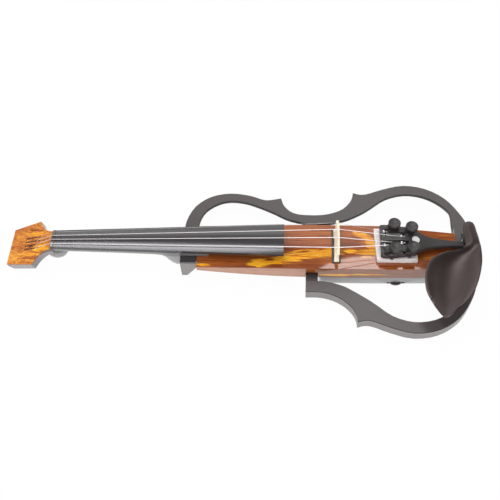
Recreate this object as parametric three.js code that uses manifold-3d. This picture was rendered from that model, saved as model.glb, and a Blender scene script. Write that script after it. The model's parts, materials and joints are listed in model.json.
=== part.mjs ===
import * as THREE from "three";
import { mergeVertices } from "three/addons/utils/BufferGeometryUtils.js";
import Module from "manifold-3d";

// Electric violin lying on its back. Millimetres: +X runs from the head to the tail,
// +Y to the treble side and +Z up out of the top. Inside the instrument group x is zero
// at the front edge of the nut, y at the centre line and z at the face of the top.

// Driving dimensions: strings and playing parts
const STRING_LENGTH = 330.4;
const STRING_CURVE_RADIUS = 41;
const NUT_CROWN = 10.7;
const BRIDGE_CROWN = 27.1;
const NUT_SPACING = 5.5;
const BRIDGE_SPACING = 11.33;
const STRING_RADII = { g: 0.4, d: 0.38, a: 0.34, e: 0.15 };
const FINGERBOARD_LENGTH = 268.5;
const FINGERBOARD_NUT_WIDTH = 24;
const FINGERBOARD_END_WIDTH = 42.5;

// Driving dimensions: body, frame and head
const BODY_START = 168.5;
const BODY_BEHIND_BRIDGE = 135.6;
const BODY_END = STRING_LENGTH + BODY_BEHIND_BRIDGE;
const BODY_HALF_WIDTH = 30.5;
const BODY_TAIL_HALF_WIDTH = 27.5;
const BODY_SIDE_DEPTH = 18.5;
const BACK_DEPTH = 32.5;
const VENEER = 2.2;
const FRAME_START = 148;
const FRAME_BEHIND_BODY = 23;
const FRAME_LENGTH = BODY_END + FRAME_BEHIND_BODY - FRAME_START;
const FRAME_HALF_WIDTH = 103.2;
const FRAME_TOP = -14.3;
const FRAME_DEPTH = 13;
const HEAD_LENGTH = 56;
const HEAD_HALF_WIDTH = 30.5;
const HEAD_TIP_HALF_WIDTH = 24.6;
const HEAD_TILT = THREE.MathUtils.degToRad(17.5);

// Driving dimensions: tailpiece and chinrest
const TAILPIECE_BEHIND_BRIDGE = 47.8;
const TAILPIECE_START = STRING_LENGTH + TAILPIECE_BEHIND_BRIDGE;
const TAILPIECE_LENGTH = 93.8;
const TAILPIECE_HALF_WIDTH = 22;
const TAILPIECE_TOP = 17.3;
const TAILPIECE_SHIFT = 0.8;
const CHINREST_AHEAD_OF_END = 43;
const CHINREST_START = BODY_END - CHINREST_AHEAD_OF_END;
const CHINREST_LENGTH = 66.3;
const CHINREST_REACH = 99.5;
const CHINREST_RIM = 21;

// Clearances shared by all the fits
const GAP = 0.3;
const FIT = 0.2;
const STRING_SEAT = 0.1;
const OVERRUN = 3;
const WELD = 1e-4;

const wasm = await Module();
wasm.setup();

// Edges of the rails: outer x, outer y, inner x, inner y, as shares of the frame's length
// and of the distance from the side of the body to the frame's widest point
const TREBLE_UPPER_SHARES = [
  [0.004, 0.199, 0.053, 0.192],
  [0.031, 0.502, 0.072, 0.4],
  [0.084, 0.712, 0.113, 0.554],
  [0.155, 0.791, 0.158, 0.621],
  [0.229, 0.744, 0.211, 0.588],
  [0.284, 0.656, 0.264, 0.493],
  [0.339, 0.699, 0.32, 0.364],
];
const TREBLE_WAIST_SHARES = [
  [0.35, 0.543, 0.342, 0.302],
  [0.384, 0.392, 0.372, 0.235],
  [0.446, 0.351, 0.437, 0.18],
  [0.507, 0.378, 0.507, 0.189],
  [0.56, 0.489, 0.563, 0.238],
  [0.591, 0.681, 0.6, 0.32],
  [0.598, 0.832, 0.625, 0.39],
];
const BASS_WAIST_SHARES = [
  [0.469, 0.307, 0.472, 0.1],
  [0.507, 0.34, 0.516, 0.128],
  [0.548, 0.434, 0.557, 0.191],
  [0.581, 0.584, 0.589, 0.279],
  [0.594, 0.709, 0.609, 0.34],
  [0.598, 0.832, 0.625, 0.39],
];
const LOWER_BOUT_SHARES = [
  [0.619, 0.801, 0.639, 0.436],
  [0.642, 0.803, 0.66, 0.512],
  [0.704, 0.912, 0.713, 0.706],
  [0.78, 1, 0.78, 0.801],
  [0.859, 0.935, 0.848, 0.756],
  [0.925, 0.729, 0.9, 0.61],
  [0.969, 0.434, 0.933, 0.427],
  [0.99, 0.214, 0.935, 0.206],
];

// Outline of the chinrest in shares of its length and reach: left x, y, right x, y,
// then the rim height and the depth of the hollow in shares of the rim height
const CHINREST_SHARES = [
  [0.25, -0.995, 0.315, -1, 0.93, 0.01],
  [0.17, -0.93, 0.39, -0.97, 0.94, 0.08],
  [0.063, -0.806, 0.558, -0.879, 0.96, 0.2],
  [0.003, -0.683, 0.724, -0.754, 0.98, 0.28],
  [0, -0.563, 0.83, -0.623, 1, 0.33],
  [0.015, -0.472, 0.905, -0.492, 1, 0.35],
  [0.06, -0.362, 0.95, -0.382, 1, 0.35],
  [0.151, -0.271, 0.973, -0.312, 0.99, 0.32],
  [0.287, -0.206, 0.988, -0.241, 0.97, 0.26],
  [0.437, -0.166, 0.995, -0.181, 0.94, 0.2],
  [0.588, -0.141, 1, -0.121, 0.91, 0.12],
  [0.709, -0.106, 1, -0.06, 0.87, 0.03],
  [0.754, -0.04, 0.995, 0, 0.83, -0.06],
  [0.754, 0.04, 0.988, 0.07, 0.8, -0.09],
  [0.744, 0.121, 0.973, 0.141, 0.78, -0.1],
  [0.75, 0.191, 0.962, 0.206, 0.77, -0.09],
  [0.776, 0.246, 0.935, 0.258, 0.76, -0.05],
  [0.83, 0.271, 0.875, 0.274, 0.75, -0.01],
];

// Tailpiece: place along it, half width, height of the crown and of the lower edge,
// in shares of its length, half width and top
const TAILPIECE_SHARES = [
  [0, 0.92, 0.93, 0.54],
  [0.021, 0.985, 0.945, 0.53],
  [0.074, 1, 0.965, 0.525],
  [0.147, 1, 0.99, 0.52],
  [0.211, 0.95, 1, 0.515],
  [0.253, 0.915, 1, 0.51],
  [0.305, 0.885, 0.98, 0.505],
  [0.358, 0.86, 0.94, 0.5],
  [0.411, 0.81, 0.885, 0.49],
  [0.463, 0.66, 0.815, 0.47],
  [0.537, 0.45, 0.71, 0.42],
  [0.632, 0.33, 0.63, 0.36],
  [0.811, 0.22, 0.56, 0.3],
  [1, 0.19, 0.49, 0.25],
];

// Colours of the finishes
const FINISH = {
  veneer: { color: 0xb0661f, roughness: 0.2, metalness: 0 },
  wood: { color: 0x8a5230, roughness: 0.25, metalness: 0 },
  frame: { color: 0x4b4646, roughness: 0.55, metalness: 0 },
  gloss: { color: 0x26262a, roughness: 0.15, metalness: 0 },
  ebony: { color: 0x1c1c1f, roughness: 0.4, metalness: 0 },
  composite: { color: 0x232326, roughness: 0.5, metalness: 0 },
  chinrest: { color: 0x3a3230, roughness: 0.45, metalness: 0 },
  maple: { color: 0xdcc7a2, roughness: 0.6, metalness: 0 },
  steel: { color: 0xc4c6c8, roughness: 0.25, metalness: 1 },
  foam: { color: 0xf0edea, roughness: 0.95, metalness: 0 },
  board: { color: 0x1f5b38, roughness: 0.5, metalness: 0 },
  battery: { color: 0x3d4a63, roughness: 0.4, metalness: 0.3 },
  disc: { color: 0xe8e8ea, roughness: 0.3, metalness: 0.6 },
};

// A closed geometry as a solid that can be joined and cut
function toSolid(geometry) {
  const bare = geometry.clone();
  bare.deleteAttribute("normal");
  bare.deleteAttribute("uv");
  const merged = mergeVertices(bare, WELD);
  const mesh = new wasm.Mesh({
    numProp: 3,
    vertProperties: new Float32Array(merged.attributes.position.array),
    triVerts: new Uint32Array(merged.index.array),
  });
  return new wasm.Manifold(mesh);
}

// A solid back as a geometry
function toGeometry(solid) {
  const mesh = solid.getMesh();
  const geometry = new THREE.BufferGeometry();
  geometry.setAttribute("position", new THREE.BufferAttribute(mesh.vertProperties, 3));
  geometry.setIndex(new THREE.BufferAttribute(mesh.triVerts, 1));
  geometry.computeVertexNormals();
  return geometry;
}

// A surface with its faces turned outward, whichever way its rings were listed
function facingOut(positions, index) {
  let volume = 0;
  const a = new THREE.Vector3();
  const b = new THREE.Vector3();
  const c = new THREE.Vector3();
  for (let i = 0; i < index.length; i += 3) {
    a.fromArray(positions, index[i] * 3);
    b.fromArray(positions, index[i + 1] * 3);
    c.fromArray(positions, index[i + 2] * 3);
    volume += a.dot(b.cross(c));
  }
  if (volume < 0) index.reverse();
  const geometry = new THREE.BufferGeometry();
  geometry.setAttribute("position", new THREE.Float32BufferAttribute(positions, 3));
  geometry.setIndex(index);
  return geometry;
}

// A skin over rings of equal counts, closed by a fan at each end
function loft(rings) {
  const count = rings[0].length;
  const positions = rings.flat().flatMap((point) => [point.x, point.y, point.z]);
  const index = [];
  for (let ring = 0; ring < rings.length - 1; ring += 1) {
    for (let side = 0; side < count; side += 1) {
      const a = ring * count + side;
      const b = ring * count + ((side + 1) % count);
      index.push(a, b, b + count, a, b + count, a + count);
    }
  }
  for (const [ring, flip] of [[0, true], [rings.length - 1, false]]) {
    const centre = new THREE.Vector3();
    rings[ring].forEach((point) => centre.addScaledVector(point, 1 / count));
    const hub = positions.length / 3;
    positions.push(centre.x, centre.y, centre.z);
    for (let side = 0; side < count; side += 1) {
      const a = ring * count + side;
      const b = ring * count + ((side + 1) % count);
      index.push(...(flip ? [hub, b, a] : [hub, a, b]));
    }
  }
  return facingOut(positions, index);
}

function block(x, y, z) {
  const geometry = new THREE.BoxGeometry(x[1] - x[0], y[1] - y[0], z[1] - z[0]);
  return geometry.translate((x[0] + x[1]) / 2, (y[0] + y[1]) / 2, (z[0] + z[1]) / 2);
}

// A round rod along one axis, from start to end, at the place given by its middle
function rod(axis, start, end, place, radius, sides = 20) {
  const geometry = new THREE.CylinderGeometry(radius, radius, end - start, sides);
  geometry.translate(0, (start + end) / 2, 0);
  if (axis === "x") geometry.rotateZ(-Math.PI / 2);
  if (axis === "z") geometry.rotateX(Math.PI / 2);
  return geometry.translate(place.x ?? 0, place.y ?? 0, place.z ?? 0);
}

// An outline in plan, given in x and y, raised from one height to another
function prism(outline, bottom, top) {
  const shape = new THREE.Shape(outline.map(([x, y]) => new THREE.Vector2(x, y)));
  const geometry = new THREE.ExtrudeGeometry(shape, { depth: top - bottom, bevelEnabled: false });
  return geometry.translate(0, 0, bottom);
}

// An outline in cross section, given in y and z, with its holes, run along x
function crossPrism(outline, start, end, holes = []) {
  const toPoints = (list) => list.map(([y, z]) => new THREE.Vector2(y, z));
  const shape = new THREE.Shape(toPoints(outline));
  shape.holes = holes.map((hole) => new THREE.Path(toPoints(hole)));
  const geometry = new THREE.ExtrudeGeometry(shape, { depth: end - start, bevelEnabled: false });
  geometry.rotateX(Math.PI / 2).rotateZ(Math.PI / 2);
  return geometry.translate(start, 0, 0);
}

// A revolved profile of radius and height pairs, standing on z
function turned(profile, sides = 24) {
  const points = profile.map(([radius, height]) => new THREE.Vector2(radius, height));
  return new THREE.LatheGeometry(points, sides).rotateX(Math.PI / 2);
}

// A round wire through exact corner points, its rings set square to each corner
function wire(points, radius, sides = 8) {
  const rings = points.map((point, i) => {
    const before = points[Math.max(i - 1, 0)];
    const after = points[Math.min(i + 1, points.length - 1)];
    const toHere = new THREE.Vector3().subVectors(point, before).normalize();
    const onward = new THREE.Vector3().subVectors(after, point).normalize();
    const along = new THREE.Vector3().addVectors(toHere, onward).normalize();
    const across = new THREE.Vector3(0, 1, 0).cross(along).normalize();
    const up = new THREE.Vector3().crossVectors(along, across);
    return Array.from({ length: sides }, (_, k) => {
      const angle = ((k + 0.5) / sides) * 2 * Math.PI;
      return point.clone()
        .addScaledVector(across, radius * Math.cos(angle))
        .addScaledVector(up, radius * Math.sin(angle));
    });
  });
  return loft(rings);
}

// A six-sided tube along a curve
function tube(path, radius, steps) {
  const section = new THREE.Shape(circle(0, 0, radius, 6).map(([x, y]) => new THREE.Vector2(x, y)));
  return new THREE.ExtrudeGeometry(section, { steps, extrudePath: path, bevelEnabled: false });
}

function join(...geometries) {
  return toGeometry(geometries.map(toSolid).reduce((sum, next) => sum.add(next)));
}

function cut(geometry, ...tools) {
  const solids = tools.map(toSolid);
  return toGeometry(solids.reduce((rest, tool) => rest.subtract(tool), toSolid(geometry)));
}

function named(name, geometry, finish) {
  const mesh = new THREE.Mesh(geometry, new THREE.MeshStandardMaterial(FINISH[finish]));
  mesh.name = name;
  return mesh;
}

// How far an arc of the given radius falls away from its crown
function drop(offset, radius) {
  return radius - Math.sqrt(radius * radius - offset * offset);
}

function lerp(a, b, share) {
  return a + (b - a) * share;
}

// Corner points of a circle as x and y pairs
function circle(x, y, radius, sides) {
  return Array.from({ length: sides }, (_, i) => {
    const angle = (i / sides) * 2 * Math.PI;
    return [x + radius * Math.cos(angle), y + radius * Math.sin(angle)];
  });
}

// Strings: place across the neck and the height of each at the nut and bridge
const STRINGS = ["g", "d", "a", "e"].map((name, i) => {
  const step = i - 1.5;
  const nutY = step * NUT_SPACING;
  const bridgeY = step * BRIDGE_SPACING;
  return {
    name,
    radius: STRING_RADII[name],
    outer: Math.abs(step) > 1,
    side: Math.sign(step),
    nut: new THREE.Vector3(0, nutY, NUT_CROWN - drop(nutY, STRING_CURVE_RADIUS)),
    bridge: new THREE.Vector3(
      STRING_LENGTH, bridgeY, BRIDGE_CROWN - drop(bridgeY, STRING_CURVE_RADIUS),
    ),
  };
});

// Half width of the slab body at a place along it: straight, then drawn in to the tail
const BODY_TAPER_LENGTH = 128;
const BODY_TAPER_START = BODY_END - BODY_TAPER_LENGTH;
function bodyHalfWidth(x) {
  const share = Math.max(0, (x - BODY_TAPER_START) / (BODY_END - BODY_TAPER_START));
  return lerp(BODY_HALF_WIDTH, BODY_TAIL_HALF_WIDTH, share * share);
}

function bodyPlan(start, end, inset = 0) {
  const steps = 8;
  const xs = [start];
  for (let i = 0; i <= steps; i += 1) {
    const x = lerp(BODY_TAPER_START, end, i / steps);
    if (x > start) xs.push(x);
  }
  const side = xs.map((x) => [x, bodyHalfWidth(x) - inset]);
  return [...side, ...side.map(([x, y]) => [x, -y]).reverse()];
}

// Places given as distances behind another place
function placedBehind(origin, places) {
  return Object.fromEntries(Object.entries(places).map(([name, distance]) => [name, origin + distance]));
}

// Brackets that hold the rails, seated in recesses in the body's sides
const BRACKET = {
  startShare: 0.4287, length: 14, depth: 2.5, reach: 2.5, top: -12.3, bottom: -20.6,
};
BRACKET.start = FRAME_START + FRAME_LENGTH * BRACKET.startShare;

// Rails of the frame; the inner and outer shares are those at the brackets
const RAIL = {
  endWidth: 17, innerDepth: 3.2, soffitShare: 0.45, chamfer: 0.7,
  bassInnerShare: 0.096, bassOuterShare: 0.31, trebleInnerShare: 0.175,
};

// Pickup under the bridge, with the bore for its lead
const PICKUP = { length: 45.9, width: 10, height: 1.5, leadY: 19.5, leadRadius: 0.8, boreRadius: 1.5 };

// Housing under the slab and the pieces in it, laid out from its two ends
const HOUSING = {
  behindBracket: 1.1, rearInset: 2, wall: 2.6, floor: 2.6, round: 1.5, inset: 0.3, cornerRadius: 5,
};
HOUSING.start = BRACKET.start + BRACKET.length + HOUSING.behindBracket;
HOUSING.end = BODY_END - HOUSING.rearInset;
const BATTERY = {
  length: 48.5, halfWidth: 13.1, top: -13.2, bottom: -29.9, edge: 1.2, room: 0.8,
  ...placedBehind(HOUSING.start, { start: 12.7 }),
};
const DOOR = {
  length: 57, halfWidth: 16.2, thickness: 1.8, recess: 0.4, pinRadius: 0.6, pinLength: 1.6,
  ...placedBehind(HOUSING.start, { start: 9.3 }),
};
const SCREW = {
  headRadius: 2.9, headDepth: 1.4, radius: 1.4, length: 16, recess: 0.5, bossRadius: 4.4,
  frontInset: 6.9, rearInset: 5.6, sideInset: 7.9,
};
const SCREW_PLACES = [
  ["front_bass", HOUSING.start + SCREW.frontInset, SCREW.sideInset - BODY_HALF_WIDTH],
  ["front_treble", HOUSING.start + SCREW.frontInset, BODY_HALF_WIDTH - SCREW.sideInset],
  ["rear_bass", HOUSING.end - SCREW.rearInset, SCREW.sideInset - BODY_TAIL_HALF_WIDTH],
  ["rear_treble", HOUSING.end - SCREW.rearInset, BODY_TAIL_HALF_WIDTH - SCREW.sideInset],
];
const BOARD = {
  bass: -25, treble: 6, top: -24.8, thickness: 1.6, postRadius: 2, postInset: 4,
  batteryGap: 10.5, rearInset: 18,
};
BOARD.start = BATTERY.start + BATTERY.length + BOARD.batteryGap;
BOARD.end = HOUSING.end - BOARD.rearInset;
const WHEEL = {
  placeShare: 0.212, y: -22.3, radius: 10, top: -28.7, bottom: -31.2, teeth: 24, toothDepth: 0.5, bore: 1.6,
};
WHEEL.x = BOARD.start + (HOUSING.end - BOARD.start) * WHEEL.placeShare;
const POT = { radius: 3.6, height: 4.6, shaftRadius: 1.4 };
const OUTPUT_JACK = {
  placeShare: 0.47, z: -25, radius: 5.1, bore: 3.35, length: 21, nutRadius: 6, nutLength: 2.4, wall: 2.4,
};
OUTPUT_JACK.x = BOARD.start + (HOUSING.end - BOARD.start) * OUTPUT_JACK.placeShare;
const PHONES_JACK = {
  placeShare: 0.687, z: -25, radius: 3.4, bore: 1.85, length: 14.5, nutRadius: 4.1, nutLength: 1.8, wall: 2,
};
PHONES_JACK.x = BOARD.start + (HOUSING.end - BOARD.start) * PHONES_JACK.placeShare;

// Depth of the wooden side at a place along the front of the body
const BELLY = { neckDepth: 7.5, keel: 8, exponent: 1.7, fullX: BRACKET.start };
function sideDepth(x) {
  const share = Math.min(1, Math.max(0, (BELLY.fullX - x) / (BELLY.fullX - BODY_START)));
  return BODY_SIDE_DEPTH - (BODY_SIDE_DEPTH - BELLY.neckDepth) * share ** BELLY.exponent;
}

// Recess for the bracket, cut through the edge of the slab on one side
function bracketRecess(side) {
  const outer = BODY_HALF_WIDTH + OVERRUN;
  const inner = BODY_HALF_WIDTH - BRACKET.depth;
  const y = side > 0 ? [inner, outer] : [-outer, -inner];
  const x = [BRACKET.start - GAP, BRACKET.start + BRACKET.length + GAP];
  return block(x, y, [BRACKET.bottom - OVERRUN, OVERRUN]);
}

// Bore for the pickup's lead, down to the given height
function leadBore(low) {
  return rod("z", low - OVERRUN, OVERRUN, { x: bridgeBase(), y: PICKUP.leadY }, PICKUP.boreRadius, 12);
}

// Wooden slab with a rounded belly ahead of the housing and a flat seat above it
function bodyCore() {
  const stations = [BODY_START];
  const steps = 8;
  for (let i = 1; i <= steps; i += 1) stations.push(lerp(BODY_START, HOUSING.start - GAP, i / steps));
  const crossShares = [[1, 0], [0.72, 0.55], [0.4, 0.9], [0, 1], [-0.4, 0.9], [-0.72, 0.55], [-1, 0]];
  const rings = stations.map((x) => {
    const half = BODY_HALF_WIDTH;
    const depth = sideDepth(x);
    const belly = crossShares.map(
      ([across, down]) => new THREE.Vector3(x, half * across, -depth - BELLY.keel * down),
    );
    return [new THREE.Vector3(x, -half, -VENEER), new THREE.Vector3(x, half, -VENEER), ...belly];
  });
  const rear = prism(bodyPlan(HOUSING.start - GAP, BODY_END), -BODY_SIDE_DEPTH, -VENEER);
  const batteryRoom = block(
    [BATTERY.start - BATTERY.room, BATTERY.start + BATTERY.length + BATTERY.room],
    [-BATTERY.halfWidth - BATTERY.room, BATTERY.halfWidth + BATTERY.room],
    [-BODY_SIDE_DEPTH - OVERRUN, BATTERY.top + GAP],
  );
  const screwBores = SCREW_PLACES.map(([, x, y]) => screwBore(x, y));
  return cut(
    join(loft(rings), rear),
    bracketRecess(1), bracketRecess(-1), batteryRoom, leadBore(-BODY_SIDE_DEPTH), ...screwBores,
  );
}

// Figured face of the slab
function topPlate() {
  const plate = prism(bodyPlan(BODY_START, BODY_END), -VENEER, 0);
  return cut(plate, bracketRecess(1), bracketRecess(-1), leadBore(-VENEER));
}

// Plan of the housing with its front corners rounded, drawn in by the given inset
function housingRing(inset, z) {
  const half = (x) => bodyHalfWidth(x) - HOUSING.inset - inset;
  const start = HOUSING.start + inset;
  const end = HOUSING.end - inset;
  const radius = Math.max(HOUSING.cornerRadius - inset, HOUSING.cornerRadius / 4);
  const side = [];
  const arcSteps = 4;
  for (let i = 0; i <= arcSteps; i += 1) {
    const angle = (i / arcSteps) * (Math.PI / 2);
    const x = start + radius * (1 - Math.cos(angle));
    side.push([x, half(x) - radius * (1 - Math.sin(angle))]);
  }
  for (const share of [0.25, 0.5, 0.75]) {
    const x = lerp(BODY_TAPER_START, end - radius, share);
    side.push([x, half(x)]);
  }
  for (let i = 0; i <= arcSteps; i += 1) {
    const angle = (i / arcSteps) * (Math.PI / 2);
    const x = end - radius * (1 - Math.sin(angle));
    side.push([x, half(x) - radius * (1 - Math.cos(angle))]);
  }
  const ring = [...side, ...side.map(([x, y]) => [x, -y]).reverse()];
  return ring.map(([x, y]) => new THREE.Vector3(x, y, z));
}

// Moulded tray under the slab: it holds the battery, the preamplifier and the sockets
function lowerHousing() {
  const roundShares = [[1, 0.85], [0.7, 0.5], [0.3, 0.18], [0, 0]];
  const outer = [housingRing(0, -BODY_SIDE_DEPTH)];
  roundShares.slice().reverse().forEach(([down, inset]) => {
    const z = -BACK_DEPTH + HOUSING.round * (1 - down);
    outer.push(housingRing(HOUSING.round * inset, z));
  });
  const floorTop = -BACK_DEPTH + HOUSING.floor;
  const inner = loft([
    housingRing(HOUSING.wall, -BODY_SIDE_DEPTH + OVERRUN),
    housingRing(HOUSING.wall, floorTop),
  ]);
  const tray = cut(loft(outer), inner);
  const posts = boardPosts().map(
    ([x, y]) => rod("z", floorTop - FIT, boardBottom(), { x, y }, BOARD.postRadius, 12),
  );
  const bosses = SCREW_PLACES.map(([, x, y]) => rod(
    "z", floorTop - FIT, -BODY_SIDE_DEPTH, { x, y }, SCREW.bossRadius, 16,
  ));
  const doorway = block(
    [DOOR.start - GAP, DOOR.start + DOOR.length + GAP],
    [-DOOR.halfWidth - GAP, DOOR.halfWidth + GAP],
    [-BACK_DEPTH - OVERRUN, floorTop + FIT],
  );
  const pinHoles = rod(
    "y", -DOOR.halfWidth - DOOR.pinLength, DOOR.halfWidth + DOOR.pinLength,
    { x: doorAxis().x, z: doorAxis().z }, DOOR.pinRadius + FIT, 12,
  );
  const wheelSlot = block(
    [WHEEL.x - WHEEL.radius - GAP, WHEEL.x + WHEEL.radius + GAP],
    [-BODY_HALF_WIDTH - OVERRUN, WHEEL.y + WHEEL.radius + GAP],
    [WHEEL.bottom - GAP, WHEEL.top + GAP],
  );
  const socketHoles = [OUTPUT_JACK, PHONES_JACK].map((jack) => rod(
    "y", 0, BODY_HALF_WIDTH + OVERRUN, { x: jack.x, z: jack.z }, jack.radius + GAP, 20,
  ));
  const screwBores = SCREW_PLACES.map(([, x, y]) => screwBore(x, y));
  return cut(
    join(tray, ...posts, ...bosses), doorway, pinHoles, wheelSlot, ...socketHoles, ...screwBores,
  );
}

function boardBottom() {
  return BOARD.top - BOARD.thickness;
}

function boardPosts() {
  const { start, end, bass, treble, postInset } = BOARD;
  const xs = [start + postInset, end - postInset];
  return [[xs[0], treble - postInset], [xs[1], bass + postInset], [xs[1], treble - postInset]];
}

// Bore of a housing screw: clear through the floor and boss, and into the slab
function screwBore(x, y) {
  const profile = [
    [0, -BACK_DEPTH - OVERRUN],
    [SCREW.headRadius + FIT, -BACK_DEPTH - OVERRUN],
    [SCREW.headRadius + FIT, -BACK_DEPTH + SCREW.recess + SCREW.headDepth + FIT],
    [SCREW.radius + FIT, -BACK_DEPTH + SCREW.recess + SCREW.headDepth + FIT],
    [SCREW.radius + FIT, -BACK_DEPTH + SCREW.recess + SCREW.headDepth + SCREW.length + GAP],
    [0, -BACK_DEPTH + SCREW.recess + SCREW.headDepth + SCREW.length + GAP],
  ];
  return turned(profile, 12).translate(x, y, 0);
}

function housingScrew() {
  const seat = SCREW.headDepth;
  return turned([
    [0, 0], [SCREW.headRadius * 0.85, 0], [SCREW.headRadius, seat / 3], [SCREW.headRadius, seat],
    [SCREW.radius, seat], [SCREW.radius, seat + SCREW.length], [0, seat + SCREW.length],
  ], 12);
}

// Hinge line of the battery door, across its front end in the middle of its thickness
function doorAxis() {
  return {
    x: DOOR.start + DOOR.thickness / 2,
    z: -BACK_DEPTH + DOOR.recess + DOOR.thickness / 2,
  };
}

function batteryDoor() {
  const axis = doorAxis();
  const bottom = -BACK_DEPTH + DOOR.recess;
  const top = bottom + DOOR.thickness;
  const plate = block(
    [axis.x, DOOR.start + DOOR.length], [-DOOR.halfWidth, DOOR.halfWidth], [bottom, top],
  );
  const knuckle = rod("y", -DOOR.halfWidth, DOOR.halfWidth, axis, DOOR.thickness / 2, 16);
  const pinReach = DOOR.halfWidth + DOOR.pinLength - FIT;
  const pins = rod("y", -pinReach, pinReach, axis, DOOR.pinRadius, 12);
  const notchRadius = DOOR.halfWidth / 3;
  const notch = rod("z", bottom - OVERRUN, top - DOOR.thickness / 2, {
    x: DOOR.start + DOOR.length, y: 0,
  }, notchRadius, 20);
  return cut(join(plate, knuckle, pins), notch);
}

function battery() {
  const { start, length, halfWidth, top, bottom, edge } = BATTERY;
  const ends = [[0, edge], [edge, 0], [length - halfWidth / 4 - edge, 0], [length - halfWidth / 4, edge]];
  const rings = ends.map(([along, inset]) => {
    const y = halfWidth - inset;
    const low = bottom + inset;
    const high = top - inset;
    const x = start + along;
    const corners = [
      [y - edge, low], [y, low + edge], [y, high - edge], [y - edge, high],
      [-y + edge, high], [-y, high - edge], [-y, low + edge], [-y + edge, low],
    ];
    return corners.map(([across, z]) => new THREE.Vector3(x, across, z));
  });
  const middle = (top + bottom) / 2;
  const terminals = [-halfWidth / 2, halfWidth / 2].map((y) => rod(
    "x", start + length - halfWidth / 4 - edge, start + length, { y, z: middle }, halfWidth / 4, 16,
  ));
  return join(loft(rings), ...terminals);
}

// Preamplifier board with its larger parts, bored for the volume control's shaft
function circuitBoard() {
  const { start, end, bass, treble, top } = BOARD;
  const plate = block([start, end], [bass, treble], [boardBottom(), top]);
  const partShares = [
    [0.1, 0.25, 0.55, 0.8, 1.4], [0.36, 0.52, 0.62, 0.86, 1], [0.62, 0.72, 0.2, 0.42, 3.2],
    [0.8, 0.92, 0.16, 0.34, 1.8], [0.08, 0.17, 0.2, 0.36, 1.2], [0.7, 0.92, 0.55, 0.72, 1.1],
  ];
  const parts = partShares.map(([x0, x1, y0, y1, rise]) => block(
    [lerp(start, end, x0), lerp(start, end, x1)],
    [lerp(bass, treble, y0), lerp(bass, treble, y1)],
    [top - BOARD.thickness / 2, top + BOARD.thickness * rise],
  ));
  const shaftHole = rod(
    "z", boardBottom() - OVERRUN, top + OVERRUN, { x: WHEEL.x, y: WHEEL.y }, POT.shaftRadius + GAP, 12,
  );
  return cut(join(plate, ...parts), shaftHole);
}

// Volume control on the board, its shaft reaching down into the wheel
function volumePot() {
  return turned([
    [0, WHEEL.bottom + FIT], [POT.shaftRadius, WHEEL.bottom + FIT], [POT.shaftRadius, BOARD.top],
    [POT.radius, BOARD.top], [POT.radius, BOARD.top + POT.height - FIT * 2],
    [POT.radius - FIT * 2, BOARD.top + POT.height], [0, BOARD.top + POT.height],
  ], 20).translate(WHEEL.x, WHEEL.y, 0);
}

// Knurled edge wheel that stands out of the housing's bass side
function volumeWheel() {
  const outline = Array.from({ length: WHEEL.teeth * 2 }, (_, i) => {
    const angle = (i / WHEEL.teeth) * Math.PI;
    const radius = WHEEL.radius - (i % 2 ? WHEEL.toothDepth : 0);
    return [radius * Math.cos(angle), radius * Math.sin(angle)];
  });
  const disc = prism(outline, WHEEL.bottom, WHEEL.top);
  return cut(disc, rod("z", WHEEL.bottom - OVERRUN, WHEEL.top + OVERRUN, {}, WHEEL.bore, 16));
}

// Socket: a barrel with a blind bore behind a round nut on the housing's treble wall
function socket(jack) {
  const mouth = bodyHalfWidth(jack.x) - HOUSING.inset + jack.nutLength;
  const inner = mouth - jack.nutLength - jack.length;
  const nutBase = mouth - jack.nutLength + GAP;
  const profile = [
    [0, inner], [jack.radius, inner], [jack.radius, nutBase], [jack.nutRadius, nutBase],
    [jack.nutRadius, mouth - FIT * 2], [jack.nutRadius - FIT * 2, mouth], [jack.bore, mouth],
    [jack.bore, inner + jack.wall], [0, inner + jack.wall],
  ];
  return turned(profile, 16).rotateX(-Math.PI / 2).translate(jack.x, 0, jack.z);
}

// Black bar with the sensing strip, under the bridge's feet
function pickupBar() {
  const half = PICKUP.length / 2;
  const x = [bridgeBase() - PICKUP.width / 2, bridgeBase() + PICKUP.width / 2];
  return block(x, [-half, half], [0, PICKUP.height]);
}

// Lead from the pickup down through the slab and along the housing to the board
function pickupLead() {
  const bend = PICKUP.leadRadius * 5;
  const runZ = BOARD.top + PICKUP.leadRadius + GAP;
  const leadX = bridgeBase();
  const { leadY } = PICKUP;
  const points = [
    new THREE.Vector3(leadX, leadY, -GAP),
    new THREE.Vector3(leadX, leadY, -BODY_SIDE_DEPTH / 2),
    new THREE.Vector3(leadX, leadY, runZ + bend),
    new THREE.Vector3(leadX + bend, leadY, runZ),
    new THREE.Vector3(lerp(leadX, BOARD.start, 0.6), leadY, runZ),
    new THREE.Vector3(BOARD.start - bend, BOARD.treble + bend, runZ),
    new THREE.Vector3(BOARD.start + bend, BOARD.treble - bend, runZ),
  ];
  const path = new THREE.CatmullRomCurve3(points);
  return tube(path, PICKUP.leadRadius, 22);
}

// Bridge: an arched maple plate, thinned to its crown, with feet, waist and cut-outs. Its
// face to the tail stands upright, and the other leans back to the crown
const BRIDGE = {
  halfTop: 24, thickness: 5.6, crownThickness: 2.2, heartRadius: 2.6, heartShare: 0.56,
  eyeRadius: 3, eyeY: 8.6, eyeShare: 0.38,
};
const BRIDGE_SIDE_SHARES = [
  [0.93, 0], [0.93, 0.07], [0.84, 0.15], [0.71, 0.21], [0.575, 0.3], [0.6, 0.4], [0.715, 0.46],
  [0.81, 0.53], [0.9, 0.6], [0.99, 0.67],
];
const BRIDGE_ARCH_SHARES = [[0.41, 0], [0.39, 0.08], [0.285, 0.17], [0.143, 0.22], [0, 0.24]];

// Middle of the bridge's foot: the crown stands behind it by half the difference in thickness
function bridgeBase() {
  return STRING_LENGTH - (BRIDGE.thickness - BRIDGE.crownThickness) / 2;
}

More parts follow.
